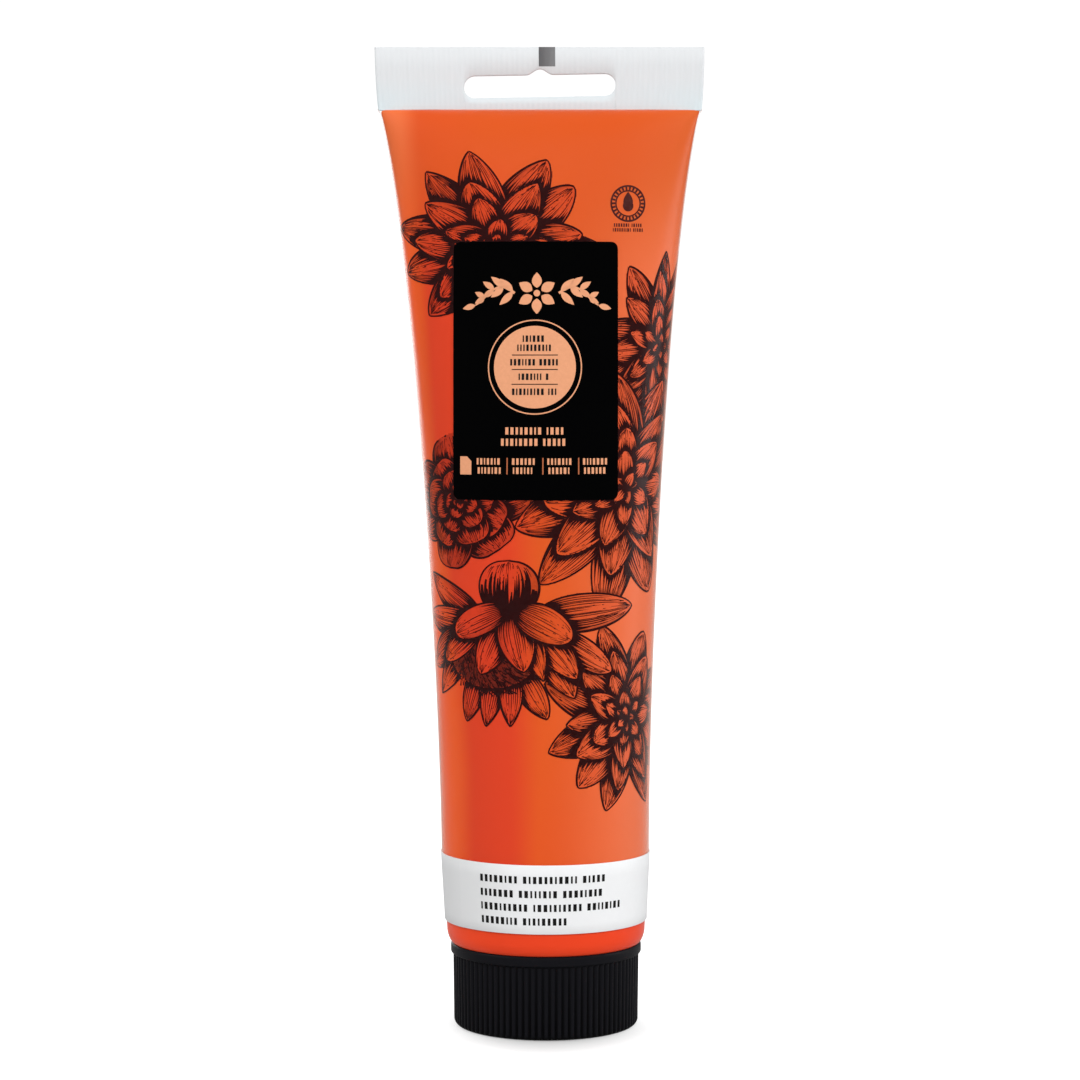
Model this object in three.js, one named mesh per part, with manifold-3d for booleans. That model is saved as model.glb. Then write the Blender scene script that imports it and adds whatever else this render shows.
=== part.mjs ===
// A stand-up squeeze tube of block printing ink, made of its seven separate pieces.
// Units are millimetres, +Z is up and the tube stands on its cap at z = 0.
// The flat crimp lies in the XZ plane and the printed front faces -Y.
import * as THREE from 'three';
import { mergeVertices } from 'three/addons/utils/BufferGeometryUtils.js';
import Module from 'manifold-3d';

const wasm = await Module();
wasm.setup();

// ---------- driving dimensions ----------
const SEGMENTS = 48; // facets around the sleeve, the neck and the cap

const SLEEVE_RADIUS = 20; // outside, where the sleeve is round
const SLEEVE_WALL = 0.5;
const SLEEVE_END_RADIUS = 19.2; // the sleeve narrows a little towards the shoulder
const SLEEVE_BOTTOM = 17.0;
const ROUND_TOP = 34; // above this height the sleeve starts to flatten
const SEAL_LINE = 175.7; // where the two walls meet under the crimp
const TUBE_TOP = 187.5;
const CRIMP_THICKNESS = 1.0;
const CRIMP_HALF_WIDTH = (SLEEVE_RADIUS * Math.PI) / 2; // half the sleeve's girth, laid flat
const CRIMP_FLARE = 0.55; // the crimp is this much narrower on each side at the seal line
const FLATTEN_POWER = 1.5; // the depth falls with height as r * (1 - t^power)^root
const FLATTEN_ROOT = 0.37;
const CORNER_TUCK = 0.5; // the two top corners of the filled part draw in under the crimp
const CORNER_TUCK_REACH = 3;
const LEAN = 1.25; // the crimp sits this far to -X of the cap's axis
const LEAN_START = 17.4;

const SLOT_LENGTH = 28.9;
const SLOT_HEIGHT = 4.2;
const SLOT_CENTRE_HEIGHT = 180.1;
const SLOT_PEAK_WIDTH = 4.4; // the notch that centres the tube on a display hook
const SLOT_PEAK_HEIGHT = 1.1;

const SHOULDER_RADIUS = 18.45;
const SHOULDER_BOTTOM = 16.5;
const SHOULDER_TOP = 18.0;
const SHOULDER_FILLET = 0.95;
const NECK_END = 3.3;
const NECK_RADIUS = 8.1;
const NECK_CHAMFER = 0.5;
const ORIFICE_RADIUS = 4.0;

const THREAD_LEAD = 3.6;
const THREAD_STEPS = 24; // facets in one turn of a thread
const THREAD_BASE = 1.5; // axial width at the root
const THREAD_CREST = 0.8; // axial width at the crest
const NECK_CREST_RADIUS = 9.0;
const NECK_THREAD_TURNS = 2.5;
const NECK_THREAD_START = 5.0; // height of the ridge's middle at its first point
const CAP_CREST_RADIUS = 8.45;
const CAP_THREAD_TURNS = 2;
const CAP_THREAD_START = NECK_THREAD_START + THREAD_LEAD / 2; // so the two ridges interleave

const CAP_RADIUS = 17.4; // smooth wall behind the grip ribs
const CAP_FLOOR = 1.7;
const CAP_TOP = 16.2;
const CAP_INNER_RADIUS = 15.9;
const RIB_COUNT = 88;
const RIB_CREST_RADIUS = 17.9;
const RIB_VALLEY_RADIUS = 17.55;
const RIB_BOTTOM = 1.0;
const RIB_TOP = 14.1;
const COLLAR_RADIUS = 18.35;
const SKIRT_BORE = 9.35;
const SKIRT_RADIUS = 11.2;
const SKIRT_TOP = 15.8;
const WEB_COUNT = 8;
const WEB_THICKNESS = 1.0;
const WEB_TOP = 12.0;

const LINER_RADIUS = 8.9;
const LINER_BOTTOM = 1.75;
const LINER_TOP = 2.95;
const FOIL_RADIUS = 7.9;
const FOIL_BOTTOM = 3.05;
const FOIL_TOP = 3.2;

const FILL_CLEARANCE = 0.3;
const FILL_BOTTOM = 18.3;
const FILL_PLUG_RADIUS = 3.8;
const FILL_PLUG_BOTTOM = 3.4;

const LABEL_BOTTOM = 20.6;
const LABEL_TOP = 33.7;
const LABEL_GAP = 0.05;
const LABEL_THICKNESS = 0.15;

// ---------- meshes and solids ----------
function indexedGeometry(positions, triangles) {
  const geometry = new THREE.BufferGeometry();
  geometry.setAttribute('position', new THREE.Float32BufferAttribute(positions, 3));
  geometry.setIndex(triangles);
  return geometry;
}

function welded(geometry) {
  const bare = geometry.clone();
  bare.deleteAttribute('normal');
  bare.deleteAttribute('uv');
  return mergeVertices(bare, 1e-4);
}

function toSolid(geometry) {
  const closed = welded(geometry);
  return new wasm.Manifold(new wasm.Mesh({
    numProp: 3,
    vertProperties: new Float32Array(closed.attributes.position.array),
    triVerts: new Uint32Array(closed.index.array),
  }));
}

function toGeometry(solid) {
  const mesh = solid.getMesh();
  return indexedGeometry(Array.from(mesh.vertProperties), Array.from(mesh.triVerts));
}

// A profile of [radius, height] pairs turned about the Z axis.
function turned(profile, segments = SEGMENTS) {
  const points = profile.map(([radius, height]) => new THREE.Vector2(radius, height));
  const geometry = new THREE.LatheGeometry(points, segments);
  geometry.rotateX(Math.PI / 2);
  return geometry;
}

// A closed solid through a stack of rings with equal point counts, with a flat fan on each end.
function ringStack(rings) {
  const count = rings[0].length;
  const positions = rings.flat(2);
  const triangles = [];
  for (let row = 0; row + 1 < rings.length; row++) {
    for (let i = 0; i < count; i++) {
      const a = row * count + i;
      const b = row * count + ((i + 1) % count);
      triangles.push(a, b, b + count, a, b + count, a + count);
    }
  }
  [0, rings.length - 1].forEach((row) => {
    const centre = new THREE.Vector3();
    rings[row].forEach((point) => centre.add(new THREE.Vector3(...point)));
    centre.divideScalar(count);
    const hub = positions.length / 3;
    positions.push(centre.x, centre.y, centre.z);
    for (let i = 0; i < count; i++) {
      const a = row * count + i;
      const b = row * count + ((i + 1) % count);
      triangles.push(...(row === 0 ? [hub, b, a] : [hub, a, b]));
    }
  });
  return indexedGeometry(positions, triangles);
}

// ---------- the sleeve's shape ----------
const clamp01 = (value) => Math.min(1, Math.max(0, value));

function leanAt(height) {
  return (-LEAN * Math.max(0, height - LEAN_START)) / (TUBE_TOP - LEAN_START);
}

function depthAt(height) {
  if (height <= ROUND_TOP) {
    const narrowing = (ROUND_TOP - height) / (ROUND_TOP - SHOULDER_TOP);
    return SLEEVE_RADIUS - (SLEEVE_RADIUS - SLEEVE_END_RADIUS) * narrowing;
  }
  const t = clamp01((height - ROUND_TOP) / (SEAL_LINE - ROUND_TOP));
  return SLEEVE_RADIUS * (1 - t ** FLATTEN_POWER) ** FLATTEN_ROOT;
}

// The half width of an ellipse of half depth b whose girth equals the round sleeve's.
function widthForDepth(b, height) {
  if (height <= ROUND_TOP) {
    return b;
  }
  const r = SLEEVE_RADIUS;
  const tuck = CORNER_TUCK * Math.exp((height - SEAL_LINE) / CORNER_TUCK_REACH);
  return (3 * r - 2 * b + Math.sqrt(3 * r * r + 6 * r * b - 5 * b * b)) / 3 - tuck;
}

function bodyRing(height, inset) {
  const depth = depthAt(height);
  const width = widthForDepth(depth, height) - inset;
  const ring = [];
  for (let i = 0; i < SEGMENTS; i++) {
    const angle = (2 * Math.PI * i) / SEGMENTS;
    const x = width * Math.cos(angle) + leanAt(height);
    ring.push([x, (depth - inset) * Math.sin(angle), height]);
  }
  return ring;
}

// The crimp's section is a thin bar with round ends.
function crimpRing(height) {
  const half = CRIMP_THICKNESS / 2;
  const below = (TUBE_TOP - height) / (TUBE_TOP - SEAL_LINE);
  const halfWidth = CRIMP_HALF_WIDTH - CRIMP_FLARE * below ** 2;
  const ring = [];
  for (let i = 0; i < SEGMENTS; i++) {
    const angle = (2 * Math.PI * i) / SEGMENTS;
    const x = halfWidth * Math.cos(angle);
    const past = Math.max(0, Math.abs(x) - (halfWidth - half));
    const y = Math.sqrt(Math.max(0, half * half - past * past));
    const side = i === 0 || i === SEGMENTS / 2 ? 0 : Math.sign(Math.sin(angle));
    ring.push([x + leanAt(height), side * y, height]);
  }
  return ring;
}

const LAST_OPEN_ROW = SEAL_LINE - 0.7; // the walls meet just above this height

function bodyHeights(start) {
  const heights = [start];
  [22, 28, ROUND_TOP].filter((height) => height > start + 1).forEach((height) => heights.push(height));
  const steps = 11;
  for (let i = 1; i <= steps; i++) {
    const t = Math.sin((Math.PI / 2) * (i / steps)); // closer together near the crimp
    heights.push(ROUND_TOP + (LAST_OPEN_ROW - ROUND_TOP) * t);
  }
  return heights;
}

function hangSlot() {
  const radius = SLOT_HEIGHT / 2;
  const reach = SLOT_LENGTH / 2 - radius;
  const peak = SLOT_PEAK_WIDTH / 2;
  const outline = new THREE.Shape();
  outline.moveTo(-reach, -radius);
  outline.lineTo(reach, -radius);
  outline.absarc(reach, 0, radius, -Math.PI / 2, Math.PI / 2, false);
  outline.lineTo(peak, radius);
  outline.quadraticCurveTo(peak * 0.55, radius + SLOT_PEAK_HEIGHT, 0, radius + SLOT_PEAK_HEIGHT);
  outline.quadraticCurveTo(-peak * 0.55, radius + SLOT_PEAK_HEIGHT, -peak, radius);
  outline.lineTo(-reach, radius);
  outline.absarc(-reach, 0, radius, Math.PI / 2, (3 * Math.PI) / 2, false);
  const cutter = new THREE.ExtrudeGeometry(outline, { depth: 6, bevelEnabled: false, curveSegments: 10 });
  cutter.rotateX(Math.PI / 2);
  cutter.translate(leanAt(SLOT_CENTRE_HEIGHT), 3, SLOT_CENTRE_HEIGHT);
  return toSolid(cutter);
}

function tubeSleeve() {
  const roundedEnd = [[SLEEVE_BOTTOM, 0.3], [SHOULDER_TOP, 0.05]]; // height and how far the edge draws in
  const inner = bodyHeights(19).map((height) => bodyRing(height, SLEEVE_WALL)).reverse();
  const lip = bodyRing(SLEEVE_BOTTOM, SLEEVE_WALL);
  const edge = roundedEnd.map(([height, drawIn]) => bodyRing(height, drawIn));
  const outer = bodyHeights(19).map((height) => bodyRing(height, 0));
  const crimp = [SEAL_LINE, SEAL_LINE + 4, TUBE_TOP].map(crimpRing);
  return toSolid(ringStack([...inner, lip, ...edge, ...outer, ...crimp])).subtract(hangSlot());
}

// ---------- threads ----------
// A one-start right-hand ridge of trapezoid section that stands out from rootRadius to crestRadius.
function threadRidge(rootRadius, crestRadius, startHeight, turns) {
  const steps = Math.round(turns * THREAD_STEPS);
  const fadeSteps = THREAD_STEPS / 8;
  const rings = [];
  for (let i = 0; i <= steps; i++) {
    const angle = (2 * Math.PI * i) / THREAD_STEPS;
    const fade = Math.min(1, (i + 0.5) / fadeSteps, (steps - i + 0.5) / fadeSteps);
    const crest = rootRadius + (crestRadius - rootRadius) * fade;
    const height = startHeight + (THREAD_LEAD * i) / THREAD_STEPS;
    const buried = rootRadius + Math.sign(rootRadius - crestRadius) * 0.3;
    const section = [
      [buried, -THREAD_BASE / 2], [rootRadius, -THREAD_BASE / 2], [crest, -THREAD_CREST / 2],
      [crest, THREAD_CREST / 2], [rootRadius, THREAD_BASE / 2], [buried, THREAD_BASE / 2],
    ];
    if (crestRadius < rootRadius) {
      section.reverse();
    }
    rings.push(section.map(([radius, offset]) => (
      [radius * Math.cos(angle), radius * Math.sin(angle), height + offset])));
  }
  return toSolid(ringStack(rings.reverse()));
}

// ---------- shoulder, neck and seal ----------
function shoulderHead() {
  const profile = [
    [ORIFICE_RADIUS, NECK_END],
    [NECK_RADIUS - NECK_CHAMFER, NECK_END],
    [NECK_RADIUS, NECK_END + NECK_CHAMFER],
    [NECK_RADIUS, SHOULDER_BOTTOM],
  ];
  const filletSteps = 3;
  for (let i = 0; i <= filletSteps; i++) {
    const angle = (Math.PI / 2) * (i / filletSteps);
    profile.push([
      SHOULDER_RADIUS - SHOULDER_FILLET * (1 - Math.sin(angle)),
      SHOULDER_BOTTOM + SHOULDER_FILLET * (1 - Math.cos(angle)),
    ]);
  }
  profile.push([SHOULDER_RADIUS, SHOULDER_TOP], [ORIFICE_RADIUS, SHOULDER_TOP], profile[0]);
  const ridge = threadRidge(NECK_RADIUS, NECK_CREST_RADIUS, NECK_THREAD_START, NECK_THREAD_TURNS);
  return toSolid(turned(profile)).add(ridge);
}

function disc(radius, bottom, top) {
  return turned([[0, bottom], [radius, bottom], [radius, top], [0, top]]);
}

// ---------- ink and label ----------
function inkFill() {
  const inset = SLEEVE_WALL + FILL_CLEARANCE;
  const plug = [FILL_PLUG_BOTTOM, FILL_BOTTOM].map((height) => {
    const ring = [];
    for (let i = 0; i < SEGMENTS; i++) {
      const angle = (2 * Math.PI * i) / SEGMENTS;
      ring.push([FILL_PLUG_RADIUS * Math.cos(angle), FILL_PLUG_RADIUS * Math.sin(angle), height]);
    }
    return ring;
  });
  const body = bodyHeights(FILL_BOTTOM).slice(0, -1).map((height) => bodyRing(height, inset));
  const surface = bodyRing(LAST_OPEN_ROW, inset + FILL_CLEARANCE);
  const lowered = surface.map(([x, y, height]) => [x, y, height - FILL_CLEARANCE]);
  return ringStack([...plug, ...body, lowered]);
}

function labelRing(height, outset) {
  return bodyRing(height, -outset);
}

function colourLabel() {
  const heights = [LABEL_BOTTOM, 22, 28, LABEL_TOP];
  const inside = heights.map((height) => labelRing(height, LABEL_GAP)).reverse();
  const outside = heights.map((height) => labelRing(height, LABEL_GAP + LABEL_THICKNESS));
  return closedBand([...inside, ...outside]);
}

// A ring-shaped solid: the last ring joins back to the first, so there are no end fans.
function closedBand(rings) {
  const count = rings[0].length;
  const triangles = [];
  rings.forEach((ring, row) => {
    const next = (row + 1) % rings.length;
    ring.forEach((point, i) => {
      const j = (i + 1) % count;
      const a = row * count + i;
      const b = row * count + j;
      const c = next * count + j;
      const d = next * count + i;
      triangles.push(a, b, c, a, c, d);
    });
  });
  return indexedGeometry(rings.flat(2), triangles);
}

// ---------- cap ----------
function ribRing() {
  const outline = new THREE.Shape();
  for (let i = 0; i < RIB_COUNT * 2; i++) {
    const angle = (Math.PI * i) / RIB_COUNT;
    const radius = i % 2 === 0 ? RIB_CREST_RADIUS : RIB_VALLEY_RADIUS;
    const [x, y] = [radius * Math.cos(angle), radius * Math.sin(angle)];
    if (i === 0) {
      outline.moveTo(x, y);
    } else {
      outline.lineTo(x, y);
    }
  }
  const hole = new THREE.Path();
  hole.absarc(0, 0, CAP_INNER_RADIUS + 0.6, 0, 2 * Math.PI, true);
  outline.holes.push(hole);
  const ring = new THREE.ExtrudeGeometry(outline, {
    depth: RIB_TOP - RIB_BOTTOM, bevelEnabled: false, curveSegments: SEGMENTS / 2,
  });
  ring.translate(0, 0, RIB_BOTTOM);
  return toSolid(ring);
}

function web(index) {
  const from = SKIRT_RADIUS - 0.4;
  const to = CAP_INNER_RADIUS + 0.4;
  const plate = new THREE.BoxGeometry(to - from, WEB_THICKNESS, WEB_TOP - CAP_FLOOR + 0.4);
  plate.translate((from + to) / 2, 0, (WEB_TOP + CAP_FLOOR - 0.4) / 2);
  plate.rotateZ((2 * Math.PI * (index + 0.5)) / WEB_COUNT);
  return toSolid(plate);
}

function screwCap() {
  const shell = turned([
    [0, 0], [16.4, 0], [17.1, 0.4], [CAP_RADIUS, 1.1], [CAP_RADIUS, RIB_TOP],
    [COLLAR_RADIUS - 0.15, RIB_TOP], [COLLAR_RADIUS, RIB_TOP + 0.4], [COLLAR_RADIUS, CAP_TOP - 0.5],
    [COLLAR_RADIUS - 0.4, CAP_TOP], [CAP_INNER_RADIUS + 0.3, CAP_TOP], [CAP_INNER_RADIUS, CAP_TOP - 0.3],
    [CAP_INNER_RADIUS, CAP_FLOOR], [SKIRT_RADIUS, CAP_FLOOR], [SKIRT_RADIUS, SKIRT_TOP],
    [SKIRT_BORE + 0.4, SKIRT_TOP], [SKIRT_BORE, SKIRT_TOP - 0.4], [SKIRT_BORE, CAP_FLOOR], [0, CAP_FLOOR],
  ]);
  let solid = toSolid(shell).add(ribRing());
  for (let i = 0; i < WEB_COUNT; i++) {
    solid = solid.add(web(i));
  }
  return solid.add(threadRidge(SKIRT_BORE, CAP_CREST_RADIUS, CAP_THREAD_START, CAP_THREAD_TURNS));
}

// ---------- the object ----------
const clearPlastic = { color: 0xe8e9ea, roughness: 0.35, metalness: 0, transparent: true, opacity: 0.45 };
const pieces = {
  screw_cap: [toGeometry(screwCap()), { color: 0x141416, roughness: 0.4, metalness: 0 }],
  cap_liner: [disc(LINER_RADIUS, LINER_BOTTOM, LINER_TOP), { color: 0xf1f1ee, roughness: 0.8, metalness: 0 }],
  foil_seal: [disc(FOIL_RADIUS, FOIL_BOTTOM, FOIL_TOP), { color: 0xc9cbce, roughness: 0.3, metalness: 0.9 }],
  shoulder_head: [toGeometry(shoulderHead()), { color: 0xe6e7e6, roughness: 0.45, metalness: 0 }],
  ink_fill: [inkFill(), { color: 0xe75526, roughness: 0.45, metalness: 0 }],
  tube_sleeve: [toGeometry(tubeSleeve()), clearPlastic],
  colour_label: [colourLabel(), { color: 0xecedee, roughness: 0.5, metalness: 0 }],
};

const inkTube = new THREE.Group();
Object.entries(pieces).forEach(([name, [geometry, look]]) => {
  const mesh = new THREE.Mesh(geometry, new THREE.MeshStandardMaterial(look));
  mesh.name = name;
  inkTube.add(mesh);
});

export default inkTube;
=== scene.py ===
"""The looks of a stand-up squeeze tube of block printing ink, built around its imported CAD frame.

Shapes are worked out in millimetres and turned into metres when a mesh is made. The printing is
laid out flat on the sleeve as (along, up): the distance around the sleeve from its front centre
line, positive to +X, and the height above the table.
"""
import math
import random

import bmesh
import bpy
import numpy as np
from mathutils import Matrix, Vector


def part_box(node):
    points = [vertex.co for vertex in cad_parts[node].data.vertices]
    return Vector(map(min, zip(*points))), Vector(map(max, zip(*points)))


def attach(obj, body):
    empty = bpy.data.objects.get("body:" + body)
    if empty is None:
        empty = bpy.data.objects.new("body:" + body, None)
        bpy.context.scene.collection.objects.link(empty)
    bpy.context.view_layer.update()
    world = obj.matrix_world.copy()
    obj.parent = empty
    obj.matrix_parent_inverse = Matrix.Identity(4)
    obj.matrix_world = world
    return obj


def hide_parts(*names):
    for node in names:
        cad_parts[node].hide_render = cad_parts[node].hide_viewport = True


MM = 0.001

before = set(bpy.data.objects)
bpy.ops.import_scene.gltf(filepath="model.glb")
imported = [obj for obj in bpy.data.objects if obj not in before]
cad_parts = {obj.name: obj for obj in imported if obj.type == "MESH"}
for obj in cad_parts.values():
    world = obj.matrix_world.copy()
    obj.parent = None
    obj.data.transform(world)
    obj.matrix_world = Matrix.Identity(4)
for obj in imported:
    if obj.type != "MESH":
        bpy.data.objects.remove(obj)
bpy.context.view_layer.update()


def box_mm(node):
    """Lowest and highest corner of a CAD node in millimetres."""
    low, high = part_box(node)
    return low / MM, high / MM


# ---------- sizes from the frame ----------
sleeve_low, sleeve_high = box_mm("tube_sleeve")
_, ink_high = box_mm("ink_fill")
label_low, label_high = box_mm("colour_label")
_, cap_high = box_mm("screw_cap")
head_low, head_high = box_mm("shoulder_head")
foil_low, foil_high = box_mm("foil_seal")
liner_low, liner_high = box_mm("cap_liner")

TUBE_TOP = sleeve_high.z
SLEEVE_RADIUS = sleeve_high.y
CRIMP_HALF_WIDTH = (sleeve_high.x - sleeve_low.x) / 2
LEAN = -(sleeve_high.x + sleeve_low.x) / 2
SEAL_LINE = ink_high.z + 1.0  # the CAD ink ends this far below the seal
SHOULDER_TOP = head_high.z
SHOULDER_BOTTOM = SHOULDER_TOP - 1.5  # the shoulder plate's thickness
CAP_TOP = cap_high.z
COLLAR_RADIUS = cap_high.y

# ---------- sizes shared with the CAD source ----------
SLEEVE_END_RADIUS = 19.2
ROUND_TOP = 34.0  # the sleeve is round up to this height, and flattens from there to the seal
LEAN_START = 17.4
FLATTEN_POWER = 1.5
FLATTEN_ROOT = 0.37
CORNER_TUCK = 0.5  # how far each side draws in at the seal, and over what height it starts to
CORNER_TUCK_REACH = 3.0
CRIMP_HALF_THICKNESS = 0.5
CRIMP_FLARE = 0.55
HALF_GIRTH = math.pi * SLEEVE_RADIUS
NECK_RADIUS = 8.1
NECK_CREST_RADIUS = 9.0
ORIFICE_RADIUS = 4.0
THREAD_LEAD = 3.6
THREAD_BASE = 1.5
THREAD_CREST = 0.8
NECK_THREAD = (5.0, 2.5)  # height of the ridge's middle at its start, and its turns
CAP_THREAD = (6.8, 2.0)
CAP_CREST_RADIUS = 8.45

# how far each layer lies outside the sleeve's face, or under it where the number is negative
INK_LIFT = -0.16
TINT_LIFT = -0.12
LINE_LIFT = -0.09
FILM_INSIDE_LIFT = -0.06
PANEL_LIFT = 0.06
PRINT_STEP = 0.04  # between one print on the panel and the next on top of it


# ---------- small helpers ----------
def to_points(*coordinates):
    """Points from arrays of their coordinates. A single number is shared by all the points."""
    return np.stack(np.broadcast_arrays(*coordinates), axis=1)


def heading(angle_deg):
    """A flat step of length 1, turned anticlockwise from +X or from along."""
    angle = math.radians(angle_deg)
    return np.array((math.cos(angle), math.sin(angle)))


def left_of(step):
    """A flat step turned a quarter to the left."""
    return np.array((-step[1], step[0]))


def half_chord(radius, offset):
    """Half a circle's chord at a distance from its centre, and 0 outside the circle."""
    return np.sqrt(np.maximum(0.0, radius**2 - offset**2))


# ---------- the sleeve's shape ----------
def depth_at(z):
    """Half depth of the sleeve at a height."""
    z = np.asarray(z, float)
    narrowing = (ROUND_TOP - z) / (ROUND_TOP - SHOULDER_TOP)
    round_part = SLEEVE_RADIUS - (SLEEVE_RADIUS - SLEEVE_END_RADIUS) * narrowing
    t = np.clip((z - ROUND_TOP) / (SEAL_LINE - ROUND_TOP), 0, 1)
    flat_part = SLEEVE_RADIUS * (1 - t**FLATTEN_POWER) ** FLATTEN_ROOT
    return np.where(z <= ROUND_TOP, round_part, np.maximum(flat_part, CRIMP_HALF_THICKNESS))


def width_at(z):
    """Half width of the sleeve: an ellipse with the round sleeve's girth."""
    z = np.asarray(z, float)
    r, b = SLEEVE_RADIUS, depth_at(z)
    ellipse = (3 * r - 2 * b + np.sqrt(3 * r * r + 6 * r * b - 5 * b * b)) / 3
    tuck = CORNER_TUCK * np.exp((z - SEAL_LINE) / CORNER_TUCK_REACH)
    return np.where(z <= ROUND_TOP, b, ellipse - tuck)


def lean_at(z):
    """How far the sleeve's middle sits to -X of the cap's axis."""
    return -LEAN * np.maximum(0, np.asarray(z, float) - LEAN_START) / (TUBE_TOP - LEAN_START)


class SleeveMap:
    """Wraps flat (along, up) places around the sleeve."""

    def __init__(self, rows=420, steps=640):
        self.low = SHOULDER_BOTTOM
        self.high = SEAL_LINE - 0.3
        self.rows = rows
        self.steps = steps
        turn = np.linspace(0, math.pi, 900)
        along = np.linspace(0, HALF_GIRTH, steps)
        self.turns = np.empty((rows, steps))
        for row, z in enumerate(np.linspace(self.low, self.high, rows)):
            x = width_at(z) * np.sin(turn)
            y = depth_at(z) * np.cos(turn)
            arc = np.concatenate(([0], np.cumsum(np.hypot(np.diff(x), np.diff(y)))))
            self.turns[row] = np.interp(along, arc * HALF_GIRTH / arc[-1], turn)

    def turn(self, along, up):
        """The section's angle, measured from the front, of each place."""
        row = np.clip((up - self.low) / (self.high - self.low), 0, 1) * (self.rows - 1)
        step = np.clip(np.abs(along) / HALF_GIRTH, 0, 1) * (self.steps - 1)
        r0 = np.minimum(row.astype(int), self.rows - 2)
        s0 = np.minimum(step.astype(int), self.steps - 2)
        fr, fs = row - r0, step - s0
        low = self.turns[r0, s0] * (1 - fs) + self.turns[r0, s0 + 1] * fs
        high = self.turns[r0 + 1, s0] * (1 - fs) + self.turns[r0 + 1, s0 + 1] * fs
        return np.sign(along) * (low * (1 - fr) + high * fr)

    def place(self, points, lift):
        """Points on the sleeve's outside, raised by lift."""
        points = np.asarray(points, float)
        along, up = points[:, 0], points[:, 1]
        along = (along + HALF_GIRTH) % (2 * HALF_GIRTH) - HALF_GIRTH
        angle = self.turn(along, up)
        a, b = width_at(up), depth_at(up)
        x, y = a * np.sin(angle), -b * np.cos(angle)
        step = 0.05
        a_slope = (width_at(up + step) - width_at(up - step)) / (2 * step)
        b_slope = (depth_at(up + step) - depth_at(up - step)) / (2 * step)
        normal = to_points(x / a**2, y / b**2, -(x**2) * a_slope / a**3 - y**2 * b_slope / b**3)
        normal /= np.linalg.norm(normal, axis=1, keepdims=True)
        return to_points(x + lean_at(up), y, up) + normal * lift


sleeve_map = SleeveMap()


# ---------- mesh helpers ----------
def add_object(name, data):
    made = bpy.data.objects.new(name, data)
    bpy.context.scene.collection.objects.link(made)
    return made


def make_piece(name, points_mm, faces, material, body):
    """A mesh object from points in millimetres, riding on a body. material is a MATERIALS key."""
    mesh = bpy.data.meshes.new(name)
    mesh.from_pydata((np.asarray(points_mm, float) * MM).tolist(), [], faces)
    mesh.update()
    mesh.shade_smooth()
    mesh.materials.append(MATERIALS[material])
    piece = add_object(name, mesh)
    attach(piece, body)
    return piece


def grid_faces(rows, columns, join_columns=True, join_rows=False, start=0):
    """Quads of a grid whose rows go up and whose columns go anticlockwise seen from above."""
    r = np.arange(rows if join_rows else rows - 1)
    c = np.arange(columns if join_columns else columns - 1)
    row, column = np.meshgrid(r, c, indexing="ij")
    above = (row + 1) % rows
    right = (column + 1) % columns
    corners = (
        row * columns + column,
        row * columns + right,
        above * columns + right,
        above * columns + column,
    )
    return (np.stack(corners, axis=-1).reshape(-1, 4) + start).tolist()


def turned(profile, columns, bend=None):
    """Points of a (radius, height) profile turned about Z. bend(r, z, angle) may move the radius."""
    angle = np.linspace(0, 2 * math.pi, columns, endpoint=False)
    rows = []
    for radius, height in profile:
        r = radius if bend is None else bend(radius, height, angle)
        rows.append(to_points(r * np.cos(angle), r * np.sin(angle), height))
    return np.concatenate(rows)


def arc(centre, radius, start_deg, end_deg, steps):
    """Points of an arc in a (radius, height) profile."""
    angles = np.linspace(start_deg, end_deg, steps)
    return [tuple(centre + radius * heading(angle)) for angle in angles]


def axis_closed(points, rows, columns):
    """A turned stack of rows, closed on the axis by fans at its first and last rows."""
    faces = grid_faces(rows, columns)
    last_row = (rows - 1) * columns
    points = list(map(tuple, points))
    first = len(points)
    points += [(0.0, 0.0, points[0][2]), (0.0, 0.0, points[last_row][2])]
    for i in range(columns):
        j = (i + 1) % columns
        faces += [(first, j, i), (first + 1, last_row + i, last_row + j)]
    return points, faces


# ---------- materials ----------
class Tree:
    """A node tree with short ways to add and join nodes."""

    def __init__(self, tree):
        self.tree = tree
        tree.nodes.clear()

    def feed(self, socket, value):
        """Gives an input socket a number, a colour or another node's output."""
        if hasattr(value, "links"):
            self.tree.links.new(value, socket)
        elif socket.type == "RGBA":
            socket.default_value = (*value, 1.0)
        else:
            socket.default_value = value

    def add(self, kind, sockets=None, **settings):
        """A node with its settings made and its input sockets fed."""
        node = self.tree.nodes.new("ShaderNode" + kind)
        for name, value in settings.items():
            setattr(node, name, value)
        for name, value in (sockets or {}).items():
            self.feed(node.inputs[name], value)
        return node


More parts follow.
